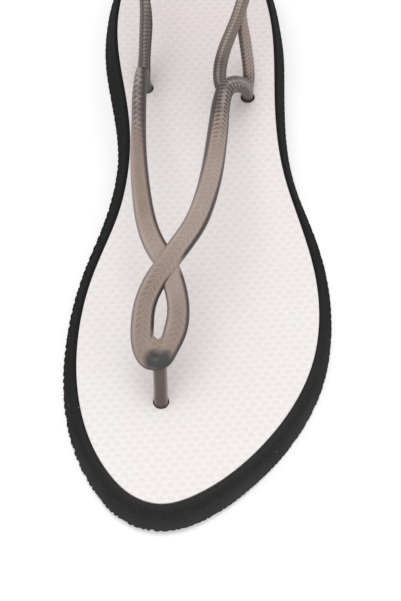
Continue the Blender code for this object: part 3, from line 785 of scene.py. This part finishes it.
def strap_ribs(strap, course, surface, settings):
    """Grooves and lips of a strap's ribs, and the millimetres by which they lift its surface."""
    ribbed = smooth_step(course.width / course.thickness, 1.05, 1.35)
    if not strap.wrapped:
        ribbed = ribbed * np.maximum(surface.outer, course.curl)
    spread = 1.0 + strap.rib_stretch * smooth_step(course.station, *RIB_SPREAD_STRETCH)
    if strap.name == "right_strap":
        spread = spread - 0.5 * smooth_step(course.station, *CURL_STRETCH)
    rib_run = np.cumsum(np.gradient(course.run)[:, None] / spread, axis=0)
    instep = strap.mid_ribs * bell(course.station, INSTEP_MIDDLE, INSTEP_REACH)
    wide = 1.0 + course.grey + 0.4 * np.maximum(instep, 0.0)
    groove, lip = rib_relief(rib_run, surface.sides, strap.rib_way, wide, settings)
    if not strap.wrapped:
        aside = np.abs(surface.to_edge)
        groove = groove * np.maximum(1.0 - smooth_step(aside, 0.80, 0.94), course.curl)
        lip = lip * np.maximum(1.0 - smooth_step(aside, 0.62, 0.80), course.curl)
    plain = surface_points(course, surface.sides, surface.faces)
    off = (plain - PATCH_PLACE - (0.0, 0.0, FOREFOOT_THICKNESS)) / PATCH_SIZE
    ribbed = ribbed * smooth_step(np.linalg.norm(off, axis=2), 0.75, 1.15)
    groove = groove * ribbed * np.minimum(1.0 + instep, 1.0)
    lip = lip * ribbed * (1.0 + instep)
    cut = groove * settings.groove_depth * (0.4 + 0.8 * course.grey) * (0.3 + 0.7 * strap.rib_contrast)
    crown = surface.outer * (1.0 - surface.to_edge ** 2) * settings.crown
    return groove, lip, ribbed * (crown + lip * settings.lip_height - cut) * PER_METRE


def round_eye(course, surface, rings, settings):
    """Round the loop's front web where the eye ends, and sink it below the straps' faces."""
    radius = settings.eye_round * PER_METRE
    aside = np.abs(rings[:, :, 0] - EYE_MIDDLE) - EYE_HALF_WIDTH
    corner = np.clip(1.0 + aside / radius, 0.0, 1.0)
    back = radius * (1.0 - np.sqrt(1.0 - corner * corner)) * (1.0 - smooth_step(aside, 0.0, 0.8))
    back = back * smooth_step(course.run / course.run[-1], 0.3, 1.0)[:, None]
    sunk = settings.pad_drop * PER_METRE * surface.outer
    return rings + back[..., None] * course.along[:, None, :] - sunk[..., None] * course.face[:, None, :]


def painted_side_shade(strap, course, surface):
    """Share from 0 to 1 of painted shade on a strap's sides turned from the light, its inward sides and
    underside, the loop's front and the stem by its hole.
    """
    rightward = surface.ways * surface.to_right
    if strap.wrapped:
        rightward = surface.ways * course.side[:, :1] + surface.facing * course.face[:, :1]
    heelwards = 0.15 + 0.85 * smooth_step(course.station, *DARK_SIDE_STRETCH)
    # Painted shade: sides turned away from the light, inward sides, the underside and the loop's front are
    # painted darker
    dark = strap.right_dark * smooth_step(rightward, 0.0, 0.55)
    dark = dark + strap.left_dark * heelwards * smooth_step(-rightward, 0.05, 0.6)
    if not strap.wrapped:
        aside = surface.to_edge * surface.to_right
        inward = -aside * np.sign(course.middle[:, :1] - STRAPS_MIDDLE)
        dark = dark + 0.7 * (1.0 - heelwards) * smooth_step(-rightward, 0.45, 0.9)
        dark = dark + 0.3 * strap.right_dark * smooth_step(aside, 0.55, 0.80)
        bends = smooth_step(course.tone, 0.0, 0.3)
        dark = dark + 0.4 * surface.outer * smooth_step(inward, -0.2, 0.7) * bends
    front = smooth_step(-surface.ways * course.side[:, 1:2], 0.3, 0.8)
    front = front * (1.0 - smooth_step(course.station, *LOOP_FRONT_STRETCH))
    dark = np.clip(np.maximum(dark + 0.8 * front, 0.3 * surface.under), 0.0, 1.0)
    stem = course.curl * (1.0 - smooth_step(course.middle[:, 2:] - FOREFOOT_THICKNESS, *STEM_LIFTS))
    return dark * (1.0 - 0.8 * course.curl) + 0.6 * stem


def strap_shades(strap, course, surface, groove, lip, rings):
    """Marks that a strap's finish reads: painted shade in the grooves, painted highlights on the lips, rims
    and upward faces, painted shade on the sides, tone and warmth.
    """
    fade = np.ones_like(groove)
    for spot in FLUSH_SPOTS:
        away = np.linalg.norm(rings - (spot.across, spot.station, spot.lift + FOREFOOT_THICKNESS), axis=2)
        fade = fade * smooth_step(away, spot.inner, spot.outer)
    dark = painted_side_shade(strap, course, surface) * fade
    # Painted highlights: a light rim inside each edge, the ribs' lips and, on wrapped straps, the faces
    # turned up to the light
    rim = bell(np.abs(surface.to_edge), 0.68, 0.09) * surface.outer
    rim = rim * (1.0 - 0.6 * course.grey) * (0.35 + 0.65 * fade)
    # Painted shade: grooves are painted darker on greyer stretches and near the edge turned to the right
    border = smooth_step(surface.to_edge * surface.to_right, 0.45, 0.80)
    groove = groove * strap.rib_contrast * np.clip(0.08 + course.grey + 0.5 * border, 0.0, 0.96)
    light = np.maximum(lip * (0.6 + 0.4 * course.grey), 0.75 * rim) * (1.0 - 0.6 * dark)
    if strap.wrapped:
        upward = surface.ways * course.side[:, 2:] + surface.facing * course.face[:, 2:]
        light = np.maximum(light, 0.3 * smooth_step(upward, 0.75, 0.98) * (1.0 - groove))
    warm = bell(surface.to_edge, 0.05, 0.62) * surface.outer
    tone = np.broadcast_to(course.tone, warm.shape)
    return {
        "strap_marks": np.stack([groove, light, dark], axis=2),
        "strap_tones": np.stack([tone, warm, np.zeros_like(warm)], axis=2),
    }


def strap_rings(strap, settings):
    """Rings of a strap along its rows, with its ribs, and the marks that its finish reads."""
    course = strap_course(strap, settings)
    surface = strap_surface(course, settings)
    groove = lip = relief = np.zeros_like(surface.sides)
    if strap.rib_way:
        groove, lip, relief = strap_ribs(strap, course, surface, settings)
    sides = surface.sides + surface.ways * relief
    faces = surface.faces + surface.facing * relief
    rings = surface_points(course, sides, faces)
    if strap.name == "loop_pad":
        rings = round_eye(course, surface, rings, settings)
    marks = strap_shades(strap, course, surface, groove, lip, rings)
    ends = [np.repeat(course.middle[k][None, :], rings.shape[1], axis=0) for k in (0, -1)]
    rings = np.concatenate([ends[0][None], rings, ends[1][None]])
    return rings, {key: np.concatenate([each[:1], each, each[-1:]]) for key, each in marks.items()}


def set_inputs(tree, node, sockets):
    """Set or link a node's inputs, given by name or number."""
    for key, value in sockets.items():
        if isinstance(value, bpy.types.NodeSocket):
            tree.links.new(value, node.inputs[key])
        else:
            node.inputs[key].default_value = value


def add_node(tree, kind, sockets=None, **options):
    """Add a shader node, set its options, and set or link its inputs."""
    node = tree.nodes.new(kind)
    for name, value in options.items():
        setattr(node, name, value)
    set_inputs(tree, node, sockets or {})
    return node


def layered(tree, first, layers):
    """Lay colours over a first one: each layer has the share that it covers, and its colour."""
    colour = (*first, 1.0)
    for share, over in layers:
        node = add_node(tree, "ShaderNodeMix", {0: share}, data_type="RGBA")
        set_inputs(tree, node, {6: colour, 7: (*over, 1.0)})
        colour = node.outputs[2]
    return colour


def ramp(tree, value, low, high, to_low=0.0, to_high=1.0):
    """Map a value from low..high to to_low..to_high, held at the ends."""
    sockets = {0: value, 1: low, 2: high, 3: to_low, 4: to_high}
    return add_node(tree, "ShaderNodeMapRange", sockets, clamp=True).outputs[0]


def noise(tree, vector, scale, detail=2.0, roughness=0.5):
    """Noise value around 0.5 on the given coordinates."""
    sockets = {"Vector": vector, "Scale": scale, "Detail": detail, "Roughness": roughness}
    return add_node(tree, "ShaderNodeTexNoise", sockets).outputs["Fac"]


def bump(tree, height, strength, distance, under=None):
    """Bump from a height value, over another bump where given."""
    sockets = {"Strength": strength, "Distance": distance, "Height": height}
    if under is not None:
        sockets["Normal"] = under
    return add_node(tree, "ShaderNodeBump", sockets).outputs["Normal"]


def math_node(tree, operation, first, second=0.0):
    """Result of a number operation."""
    return add_node(tree, "ShaderNodeMath", {0: first, 1: second}, operation=operation).outputs[0]


def times(tree, first, second):
    """Product of two values."""
    return math_node(tree, "MULTIPLY", first, second)


def vector_math(tree, operation, first, second):
    """Result of a vector operation, its first output that is in use."""
    node = add_node(tree, "ShaderNodeVectorMath", {0: first, 1: second}, operation=operation)
    return next(socket for socket in node.outputs if socket.enabled)


def read_marks(tree, mark_name):
    """The three surface marks stored on a piece under a name."""
    attribute = add_node(tree, "ShaderNodeAttribute", attribute_name=mark_name)
    return add_node(tree, "ShaderNodeSeparateXYZ", {0: attribute.outputs["Vector"]}).outputs


def start_material(name):
    """New material with its shader and the object's coordinates."""
    material = bpy.data.materials.new(name)
    material.use_nodes = True
    tree = material.node_tree
    coords = add_node(tree, "ShaderNodeTexCoord").outputs["Object"]
    return material, tree, tree.nodes["Principled BSDF"], coords


def blot(tree, coords, middle, size, ragged, solid):
    """Squarish spot round a measuring-frame place: 1 in its solid share, 0 outside its half sizes."""
    centre = place((middle[0], middle[1], middle[2] + FOREFOOT_THICKNESS))
    off = vector_math(tree, "SUBTRACT", coords, tuple(centre))
    off = vector_math(tree, "MULTIPLY", off, tuple(PER_METRE / reach for reach in size))
    off = vector_math(tree, "MULTIPLY", off, off)
    away = math_node(tree, "ADD", vector_math(tree, "LENGTH", off, (0.0, 0.0, 0.0)), ragged)
    return ramp(tree, away, solid, 1.0, 1.0, 0.0)


def outsole_finish(settings):
    """Black foam rubber: fine rubbed lines along the wall, a thin layer line and dust near the floor, with
    painted light on the toe wall and painted shade on the side and back walls.
    """
    material, tree, shader, coords = start_material("outsole_foam")
    run, down, front = read_marks(tree, "wall_marks")

    # Painted light: the toe, which faces the lamps, takes more of each lighter layer than the sides
    def sides_to_toe(at_sides, at_toe):
        return ramp(tree, front, 0.0, 1.0, at_sides, at_toe)

    stretched = add_node(
        tree, "ShaderNodeCombineXYZ", {0: times(tree, run, 0.35), 1: times(tree, down, 60.0)})
    lines = noise(tree, stretched.outputs[0], 1.0, 3.0, 0.6)
    grain = noise(tree, coords, 900.0, 3.0, 0.6)
    pores = noise(tree, coords, 1500.0, 2.0, 0.6)
    cloud = noise(tree, coords, 60.0, 2.0)
    rare = noise(tree, coords, 45.0, 1.0)
    specks = add_node(tree, "ShaderNodeTexVoronoi", {"Vector": coords, "Scale": 170.0}).outputs["Distance"]
    # Painted shade on the side and back walls, strongest from halfway down
    aside = times(tree, ramp(tree, down, 0.0, 0.45, 0.5, 1.0), ramp(tree, front, 0.6, 0.0))
    line = times(tree, ramp(tree, down, 0.262, 0.272), ramp(tree, down, 0.300, 0.288))
    dust = times(tree, ramp(tree, down, 0.40, 0.86), ramp(tree, cloud, 0.30, 0.70, 0.35, 1.0))
    scuff = blot(tree, coords, SCUFF_PLACE, SCUFF_SIZE, times(tree, grain, 0.3), 0.6)
    speck = times(tree, ramp(tree, specks, 0.055, 0.035), ramp(tree, rare, 0.44, 0.50))
    # Lines, upper strip, dust and pores weigh more on the toe, partly real and partly painted light; the
    # pale top of the rim at the toe is painted light only
    colour = layered(tree, settings.outsole_colour, [
        (times(tree, ramp(tree, lines, 0.35, 0.75), sides_to_toe(0.3, 1.0)), settings.wall_line_colour),
        (times(tree, aside, 0.9), settings.side_wall_shade_colour),
        (times(tree, ramp(tree, down, 0.30, 0.22), sides_to_toe(0.1, 0.6)), settings.upper_layer_colour),
        (times(tree, ramp(tree, down, 0.16, 0.02), sides_to_toe(0.0, 0.2)), settings.dust_and_toe_light_colour),
        (times(tree, line, 0.45), settings.layer_line_colour),
        (times(tree, dust, sides_to_toe(0.08, 0.9)), settings.dust_and_toe_light_colour),
        (times(tree, ramp(tree, pores, 0.40, 0.64), sides_to_toe(0.05, 0.30)), settings.dust_and_toe_light_colour),
        (times(tree, scuff, 0.3), settings.dust_and_toe_light_colour),
        (times(tree, speck, 0.8), settings.speck_colour),
    ])
    set_inputs(tree, shader, {
        "Base Color": colour,
        "Roughness": ramp(tree, grain, 0.3, 0.7, 0.70, 0.90),
        "Specular IOR Level": 0.02,
        "Normal": bump(tree, lines, 0.30, 0.0003, bump(tree, grain, 0.35, 0.0002)),
    })
    return material


def dimple_shade(tree, coords, settings):
    """Painted shade in each dimple, darkest at its far edge, and painted highlights on the lines between
    the dimples.
    """
    turn = settings.dimple_turn
    across_way = Vector((math.cos(turn), math.sin(turn), 0.0)) / settings.dimple_pitch
    along_way = Vector((-math.sin(turn), math.cos(turn), 0.0)) / settings.dimple_row_gap
    start = Vector((CENTRE_ACROSS * MM, CENTRE_STATION * MM, 0.0))
    spot = vector_math(tree, "ADD", coords, tuple(start))
    across = vector_math(tree, "DOT_PRODUCT", spot, tuple(across_way))
    along = vector_math(tree, "DOT_PRODUCT", spot, tuple(along_way))
    row = math_node(tree, "ROUND", along)
    up = math_node(tree, "SUBTRACT", along, row)
    shift = times(tree, math_node(tree, "FLOORED_MODULO", row, 2.0), 0.5)
    across = math_node(tree, "SUBTRACT", across, shift)
    side = math_node(tree, "SUBTRACT", across, math_node(tree, "ROUND", across))
    side = times(tree, side, 2.0 * settings.dimple_pitch / settings.dimple_width)
    up = times(tree, up, 2.0 * settings.dimple_row_gap / settings.dimple_length)
    away = math_node(tree, "ADD", times(tree, side, side), times(tree, up, up))
    inside = ramp(tree, away, 1.05, 0.45)
    return times(tree, inside, ramp(tree, up, -1.1, 0.4)), ramp(tree, away, 1.0, 1.6)


def footbed_finish(settings):
    """White foam rubber with soft dimples, a fine grain and a thin brownish border line, with painted shade
    in the dimples and towards the heel and painted highlights between the dimples.
    """
    material, tree, shader, coords = start_material("footbed_foam")
    border, _, _ = read_marks(tree, "footbed_marks")
    cloud = noise(tree, coords, 28.0, 3.0)
    grain = noise(tree, coords, 1400.0, 2.0)
    shade, shine = dimple_shade(tree, coords, settings)
    heelwards = add_node(tree, "ShaderNodeSeparateXYZ", {0: coords}).outputs[1]
    # Painted shade: the white is painted greyer towards the heel
    heel = ramp(tree, heelwards, settings.heel_shade_start, settings.heel_shade_end)
    colour = layered(tree, settings.footbed_colour, [
        (ramp(tree, cloud, 0.30, 0.70), settings.footbed_warm_colour),
        (heel, settings.footbed_heel_shade_colour),
        # Painted shade in the dimples and painted highlights on the lines between them
        (times(tree, shade, 0.24), settings.dimple_shade_colour),
        (times(tree, shine, 0.3), settings.dimple_highlight_colour),
        (ramp(tree, border, 0.6, 1.0, 0.0, 0.12), settings.footbed_border_colour),
    ])
    set_inputs(tree, shader, {
        "Base Color": colour,
        "Roughness": 0.6,
        "Specular IOR Level": 0.2,
        "Normal": bump(tree, grain, 0.12, 0.0002),
    })
    return material


def strap_finish(settings):
    """Smoky translucent soft plastic: warm face, painted shade on the sides and in the grooves, painted
    highlights on the lips and rims, grey bends and a glossy bare patch.
    """
    material, tree, shader, coords = start_material("strap_soft_plastic")
    groove, light, dark = read_marks(tree, "strap_marks")
    tone, warm, _ = read_marks(tree, "strap_tones")
    cloud = noise(tree, coords, 160.0, 3.0, 0.55)
    grain = noise(tree, coords, 1800.0, 2.0)
    brown = times(tree, ramp(tree, tone, -0.6, 0.0, 0.15, 1.0), ramp(tree, warm, 0.2, 1.0, 0.45, 1.0))
    ragged = ramp(tree, noise(tree, coords, 260.0, 1.0, 0.5), 0.25, 0.75, -0.15, 0.25)
    patch = blot(tree, coords, PATCH_PLACE, PATCH_SIZE, ragged, 0.40)
    colour = layered(tree, settings.face_colour, [
        (times(tree, brown, ramp(tree, cloud, 0.30, 0.70, 0.55, 1.0)), settings.warm_colour),
        (ramp(tree, tone, 0.04, 0.35), settings.deep_colour),
        (ramp(tree, tone, 0.40, 0.90), settings.bend_colour),
        # Painted shade in the grooves and on the sides, painted highlights on the lips and rims
        (groove, settings.strap_shade_colour),
        (times(tree, light, ramp(tree, cloud, 0.35, 0.60, 0.35, 1.0)), settings.lip_highlight_colour),
        (times(tree, dark, 0.92), settings.strap_shade_colour),
        (times(tree, patch, 0.92), settings.patch_colour),
    ])
    set_inputs(tree, shader, {
        "Base Color": colour,
        "Roughness": ramp(tree, patch, 0.0, 1.0, 0.42, 0.28),
        "Specular IOR Level": 0.35,
        "Subsurface Weight": 0.10,
        "Subsurface Radius": (1.0, 0.8, 0.7),
        "Subsurface Scale": 0.0005,
        "Normal": bump(tree, grain, 0.06, 0.0002),
    })
    return material


def length(name, description, default):
    """Length property in metres."""
    return FloatProperty(
        name=name, description=description, default=default, min=0.0, unit="LENGTH", precision=5)


def amount(name, description, default, unit="NONE"):
    """Number property, with a unit where it has one."""
    return FloatProperty(name=name, description=description, default=default, unit=unit)


def whole_number(name, description, default):
    """Whole number property."""
    return IntProperty(name=name, description=description, default=default)


def colour_of(name, description, default):
    """Colour property."""
    return FloatVectorProperty(
        name=name, description=description, default=default, size=3, min=0.0, max=1.0, subtype="COLOR")


class SandalSole(PropertyGroup):
    """Sizes and colours of the outsole and the footbed."""

    outline_points: whole_number("Outline points", "Wall points on each side", 1000)
    footbed_points: whole_number("Footbed points", "Footbed points on each side", 520)
    footbed_rings: whole_number("Footbed rings", "Rings over the footbed's top", 84)
    tread_outline_points: whole_number("Tread outline", "Points a side for the tread", 160)
    tread_depth: length("Tread depth", "Height of the tread's diamonds", 0.0007)
    tread_pitch: length("Tread pitch", "Distance between diamonds in a row", 0.0027)
    tread_inset: length("Tread inset", "Outermost diamond middles from the sole's foot", 0.0014)
    notch_depth: length("Notch depth", "Depth of the tread's notches in the lower edge", 0.0005)
    tread_size: length("Diamond size", "Half a diamond's diagonal at the sole", 0.00125)
    tread_tip: length("Diamond tip", "Half a diamond's diagonal at the floor", 0.00100)
    footbed_round: length("Footbed edge", "Rounding of the footbed's edge", 0.00018)
    dimple_pitch: length("Dimple pitch", "Distance between dimples in a row", 0.0035)
    dimple_row_gap: length("Dimple rows", "Distance between rows of dimples", 0.0022)
    dimple_width: length("Dimple width", "Width of a dimple", 0.0028)
    dimple_length: length("Dimple length", "Length of a dimple", 0.0022)
    dimple_depth: length("Dimple depth", "Depth of a dimple", 0.00012)
    dimple_turn: amount("Dimple turn", "Turn of the dimple rows", math.radians(4.0), "ROTATION")
    # Where the painted shade towards the heel starts and where it is full
    heel_shade_start: amount("Heel tint start", "Where the tint starts along the foot", -0.01, "LENGTH")
    heel_shade_end: amount("Heel tint end", "Where the tint is full", 0.07, "LENGTH")
    outsole_colour: colour_of("Foam", "Black foam", RECORD_COLOUR["outsole"])
    wall_line_colour: colour_of("Wall lines", "Rubbed lines of the wall", (0.038, 0.038, 0.038))
    # Painted shade laid on the side and back walls
    side_wall_shade_colour: colour_of("Side wall", "Wall along the sides", (0.011, 0.011, 0.0115))
    upper_layer_colour: colour_of("Upper layer", "Smoother strip under the rim", (0.023, 0.023, 0.024))
    layer_line_colour: colour_of("Layer line", "Line between the layers", (0.050, 0.028, 0.024))
    # Dust near the floor and in the pores, also used for the painted light on the toe wall
    dust_and_toe_light_colour: colour_of("Dust", "Dust near the floor and in the pores", (0.060, 0.059, 0.059))
    speck_colour: colour_of("Specks", "Light specks of dust", (0.26, 0.25, 0.25))
    footbed_colour: colour_of("Footbed", "White foam", RECORD_COLOUR["footbed"])
    footbed_warm_colour: colour_of("Footbed warm", "Warmer white foam", (0.85, 0.80, 0.79))
    # Painted shade: greyer white towards the heel
    footbed_heel_shade_colour: colour_of("Footbed heel", "Greyer foam towards the heel", (0.785, 0.715, 0.71))
    # Painted shade at each dimple's far edge and painted highlights on the lines between the dimples
    dimple_shade_colour: colour_of("Dimples", "Far edge of a dimple", (0.66, 0.62, 0.61))
    dimple_highlight_colour: colour_of("Dimple light", "Lines between the dimples", (0.93, 0.90, 0.895))
    footbed_border_colour: colour_of("Footbed border", "Cut edge of the footbed", (0.28, 0.20, 0.15))


class SandalStraps(PropertyGroup):
    """Sizes and colours of the upper."""

    ring_step: length("Ring step", "Distance between rings along a strap", 0.00022)
    section_points: whole_number("Section points", "Points round a strap", 60)
    rib_pitch: length("Rib pitch", "Distance between ribs along a strap", 0.0020)
    rib_slant: amount("Rib slant", "Run along the strap for each step aside", 0.85)
    groove_width: length("Groove width", "Half width of the groove between ribs", 0.00026)
    groove_depth: length("Groove depth", "Depth of the groove between ribs", 0.00022)
    lip_height: length("Lip height", "Height of the raised lip beside each groove", 0.00008)
    weave: length("Weave", "Swing of the line where the ribs meet", 0.0012)
    crown: length("Crown", "Rise of the strap's face over its edges", 0.00020)
    eye_round: length("Eye rounding", "Rounding of the eye's front end", 0.0010)
    pad_drop: length("Pad drop", "Depth of the loop's front web below the straps' faces", 0.00025)
    face_colour: colour_of("Face", "Pale parts of the outer face", (0.36, 0.285, 0.25))
    warm_colour: colour_of("Warm face", "Brown parts of the outer face", (0.235, 0.165, 0.122))
    deep_colour: colour_of("Deep brown", "Brown of the post and towards the bends", (0.148, 0.108, 0.090))
    bend_colour: colour_of("Bends", "Grey at the bends and stems", (0.165, 0.150, 0.150))
    # Painted shade: colour laid on the straps' sides and in their grooves
    strap_shade_colour: colour_of("Sides", "Dark sides and grooves of the straps", (0.034, 0.025, 0.023))
    # Painted highlight: colour laid on the ribs' lips and the rims of the straps
    lip_highlight_colour: colour_of("Lips", "Light lips of the relief", (0.47, 0.39, 0.35))
    patch_colour: colour_of("Patch", "Glossy dark patch of the loop", (0.040, 0.044, 0.046))


class SandalStage(PropertyGroup):
    """Floor, light and camera."""

    floor_size: length("Floor", "Half the floor's side", 8.0)
    floor_colour: colour_of("Floor", "Pale floor", (0.80, 0.80, 0.80))
    floor_glow: amount("Floor glow", "Light the floor gives off", 0.30)
    world_strength: amount("Room light", "Even light from all around", 0.79)
    key_power: amount("Key light", "Main light", 3.0, "POWER")
    fill_power: amount("Fill light", "Second light", 1.0, "POWER")
    camera_place: FloatVectorProperty(
        name="Camera", description="Camera's place", default=(0.0005, -0.2933, 0.3843),
        subtype="TRANSLATION")
    camera_pitch: amount("Pitch", "Camera's tilt from straight down", math.radians(33.0), "ROTATION")
    camera_lens: amount("Lens", "Focal length in millimetres", 79.55)


def tread_diamonds(settings):
    """All the tread's diamonds as one mesh under the sole."""
    mesh = bmesh.new()
    depth = settings.tread_depth
    for across, station in tread_places(settings):
        x, y, _ = place((across, station, 0.0))
        spot = Matrix.Translation((x, y, float(underside_height(station)) * MM + 0.5 * depth))
        bmesh.ops.create_cone(
            mesh, cap_ends=True, segments=4, radius1=settings.tread_tip, radius2=settings.tread_size,
            depth=depth, matrix=spot)
    store = mesh.verts.layers.float_vector.new("wall_marks")
    for vert in mesh.verts:
        vert[store] = ((vert.co.x + vert.co.y) * PER_METRE, 1.0, 0.0)
    return finish_piece("outsole_tread", mesh)


def pale_floor(settings):
    """Wide floor that glows a little, so that it is white to the horizon."""
    mesh = bmesh.new()
    bmesh.ops.create_grid(mesh, x_segments=1, y_segments=1, size=settings.floor_size)
    floor = finish_piece("floor", mesh)
    material = bpy.data.materials.new("pale_floor")
    material.use_nodes = True
    tree = material.node_tree
    set_inputs(tree, tree.nodes["Principled BSDF"], {
        "Base Color": (*settings.floor_colour, 1.0),
        "Roughness": 0.9,
        "Specular IOR Level": 0.1,
        "Emission Color": WHITE,
        "Emission Strength": settings.floor_glow,
    })
    floor.data.materials.append(material)


def studio_light(scene, settings):
    """Even white room light with two large soft lamps."""
    world = bpy.data.worlds.new("studio")
    scene.world = world
    world.use_nodes = True
    background = world.node_tree.nodes["Background"]
    set_inputs(world.node_tree, background, {"Color": WHITE, "Strength": settings.world_strength})
    lamps = [
        ("key", settings.key_power, (-0.12, -0.02, 1.0), 0.7),
        ("fill", settings.fill_power, (0.8, -0.7, 0.8), 0.9),
    ]
    for name, power, spot, size in lamps:
        data = bpy.data.lights.new(name, "AREA")
        data.energy = power
        data.size = size
        lamp = bpy.data.objects.new(name, data)
        lamp.location = spot
        lamp.rotation_euler = (-Vector(spot)).to_track_quat("-Z", "Y").to_euler()
        scene.collection.objects.link(lamp)


def photo_camera(scene, settings):
    """Camera at the photo's place, over the toe."""
    data = bpy.data.cameras.new("camera")
    data.lens = settings.camera_lens
    data.sensor_width = 36.0
    data.clip_start = 0.01
    camera = bpy.data.objects.new("camera", data)
    camera.location = settings.camera_place
    camera.rotation_euler = (settings.camera_pitch, 0.0, 0.0)
    scene.collection.objects.link(camera)
    scene.camera = camera
    scene.view_settings.view_transform = "Standard"


class AddOutsole(Operator):
    """Build the foam sole with its wall, tread, recess and holes"""

    bl_idname = "sandal.add_outsole"
    bl_label = "Add Outsole"

    def execute(self, context):
        settings = context.scene.sandal_sole
        material = outsole_finish(settings)
        sole = skin("outsole_body", *outsole_rings(settings))
        cut_holes(sole, True)
        settle(sole, "outsole", material)
        settle(tread_diamonds(settings), "outsole", material)
        return {"FINISHED"}


class AddFootbed(Operator):
    """Build the white dimpled footbed"""

    bl_idname = "sandal.add_footbed"
    bl_label = "Add Footbed"

    def execute(self, context):
        settings = context.scene.sandal_sole
        sheet = skin("footbed_sheet", *footbed_rings(settings))
        cut_holes(sheet, False)
        settle(sheet, "footbed", footbed_finish(settings))
        return {"FINISHED"}


class AddStraps(Operator):
    """Build the moulded straps, the toe post and the plugs"""

    bl_idname = "sandal.add_straps"
    bl_label = "Add Straps"

    def execute(self, context):
        settings = context.scene.sandal_straps
        material = strap_finish(settings)
        for strap in STRAPS:
            piece = skin(f"upper_{strap.name}", *strap_rings(strap, settings))
            settle(piece, "upper", material)
        foot, top = PLUG_FLOOR_GAP, PLUG_FLOOR_GAP + PLUG_THICKNESS
        profile = [(PLUG_RADIUS - PLUG_BEVEL, foot), (PLUG_RADIUS, foot + PLUG_BEVEL), (PLUG_RADIUS, top)]
        for number, (across, station) in enumerate(anchors()):
            plug = finish_piece(f"upper_plug_{number}", round_bar(across, station, profile))
            settle(plug, "upper", material)
        return {"FINISHED"}


class AddStage(Operator):
    """Build the pale floor, the soft studio light and the camera"""

    bl_idname = "sandal.add_stage"
    bl_label = "Add Stage"

    def execute(self, context):
        settings = context.scene.sandal_stage
        pale_floor(settings)
        studio_light(context.scene, settings)
        photo_camera(context.scene, settings)
        return {"FINISHED"}


class SandalPanel(Panel):
    """Sandal tools in the sidebar"""

    bl_idname = "VIEW3D_PT_sandal"
    bl_label = "Sandal"
    bl_space_type = "VIEW_3D"
    bl_region_type = "UI"
    bl_category = "Sandal"

    def draw(self, context):
        scene = context.scene
        for operator in OPERATORS:
            self.layout.operator(operator.bl_idname)
        for settings in (scene.sandal_sole, scene.sandal_straps, scene.sandal_stage):
            box = self.layout.box()
            for name in settings.bl_rna.properties.keys():
                if name not in ("rna_type", "name"):
                    box.prop(settings, name)


SETTINGS = {"sandal_sole": SandalSole, "sandal_straps": SandalStraps, "sandal_stage": SandalStage}
OPERATORS = (AddOutsole, AddFootbed, AddStraps, AddStage)


def register():
    """Make the settings, operators and panel known to Blender."""
    for group in SETTINGS.values():
        bpy.utils.register_class(group)
    for group in (*OPERATORS, SandalPanel):
        bpy.utils.register_class(group)
    for name, group in SETTINGS.items():
        setattr(bpy.types.Scene, name, PointerProperty(type=group))


def unregister():
    """Take the settings, operators and panel away again."""
    for name in SETTINGS:
        delattr(bpy.types.Scene, name)
    for group in (SandalPanel, *OPERATORS, *SETTINGS.values()):
        bpy.utils.unregister_class(group)


def main():
    """Build the stage and all the pieces."""
    register()
    bpy.ops.sandal.add_stage()
    bpy.ops.sandal.add_outsole()
    bpy.ops.sandal.add_footbed()
    bpy.ops.sandal.add_straps()


if __name__ == "__main__":
    main()
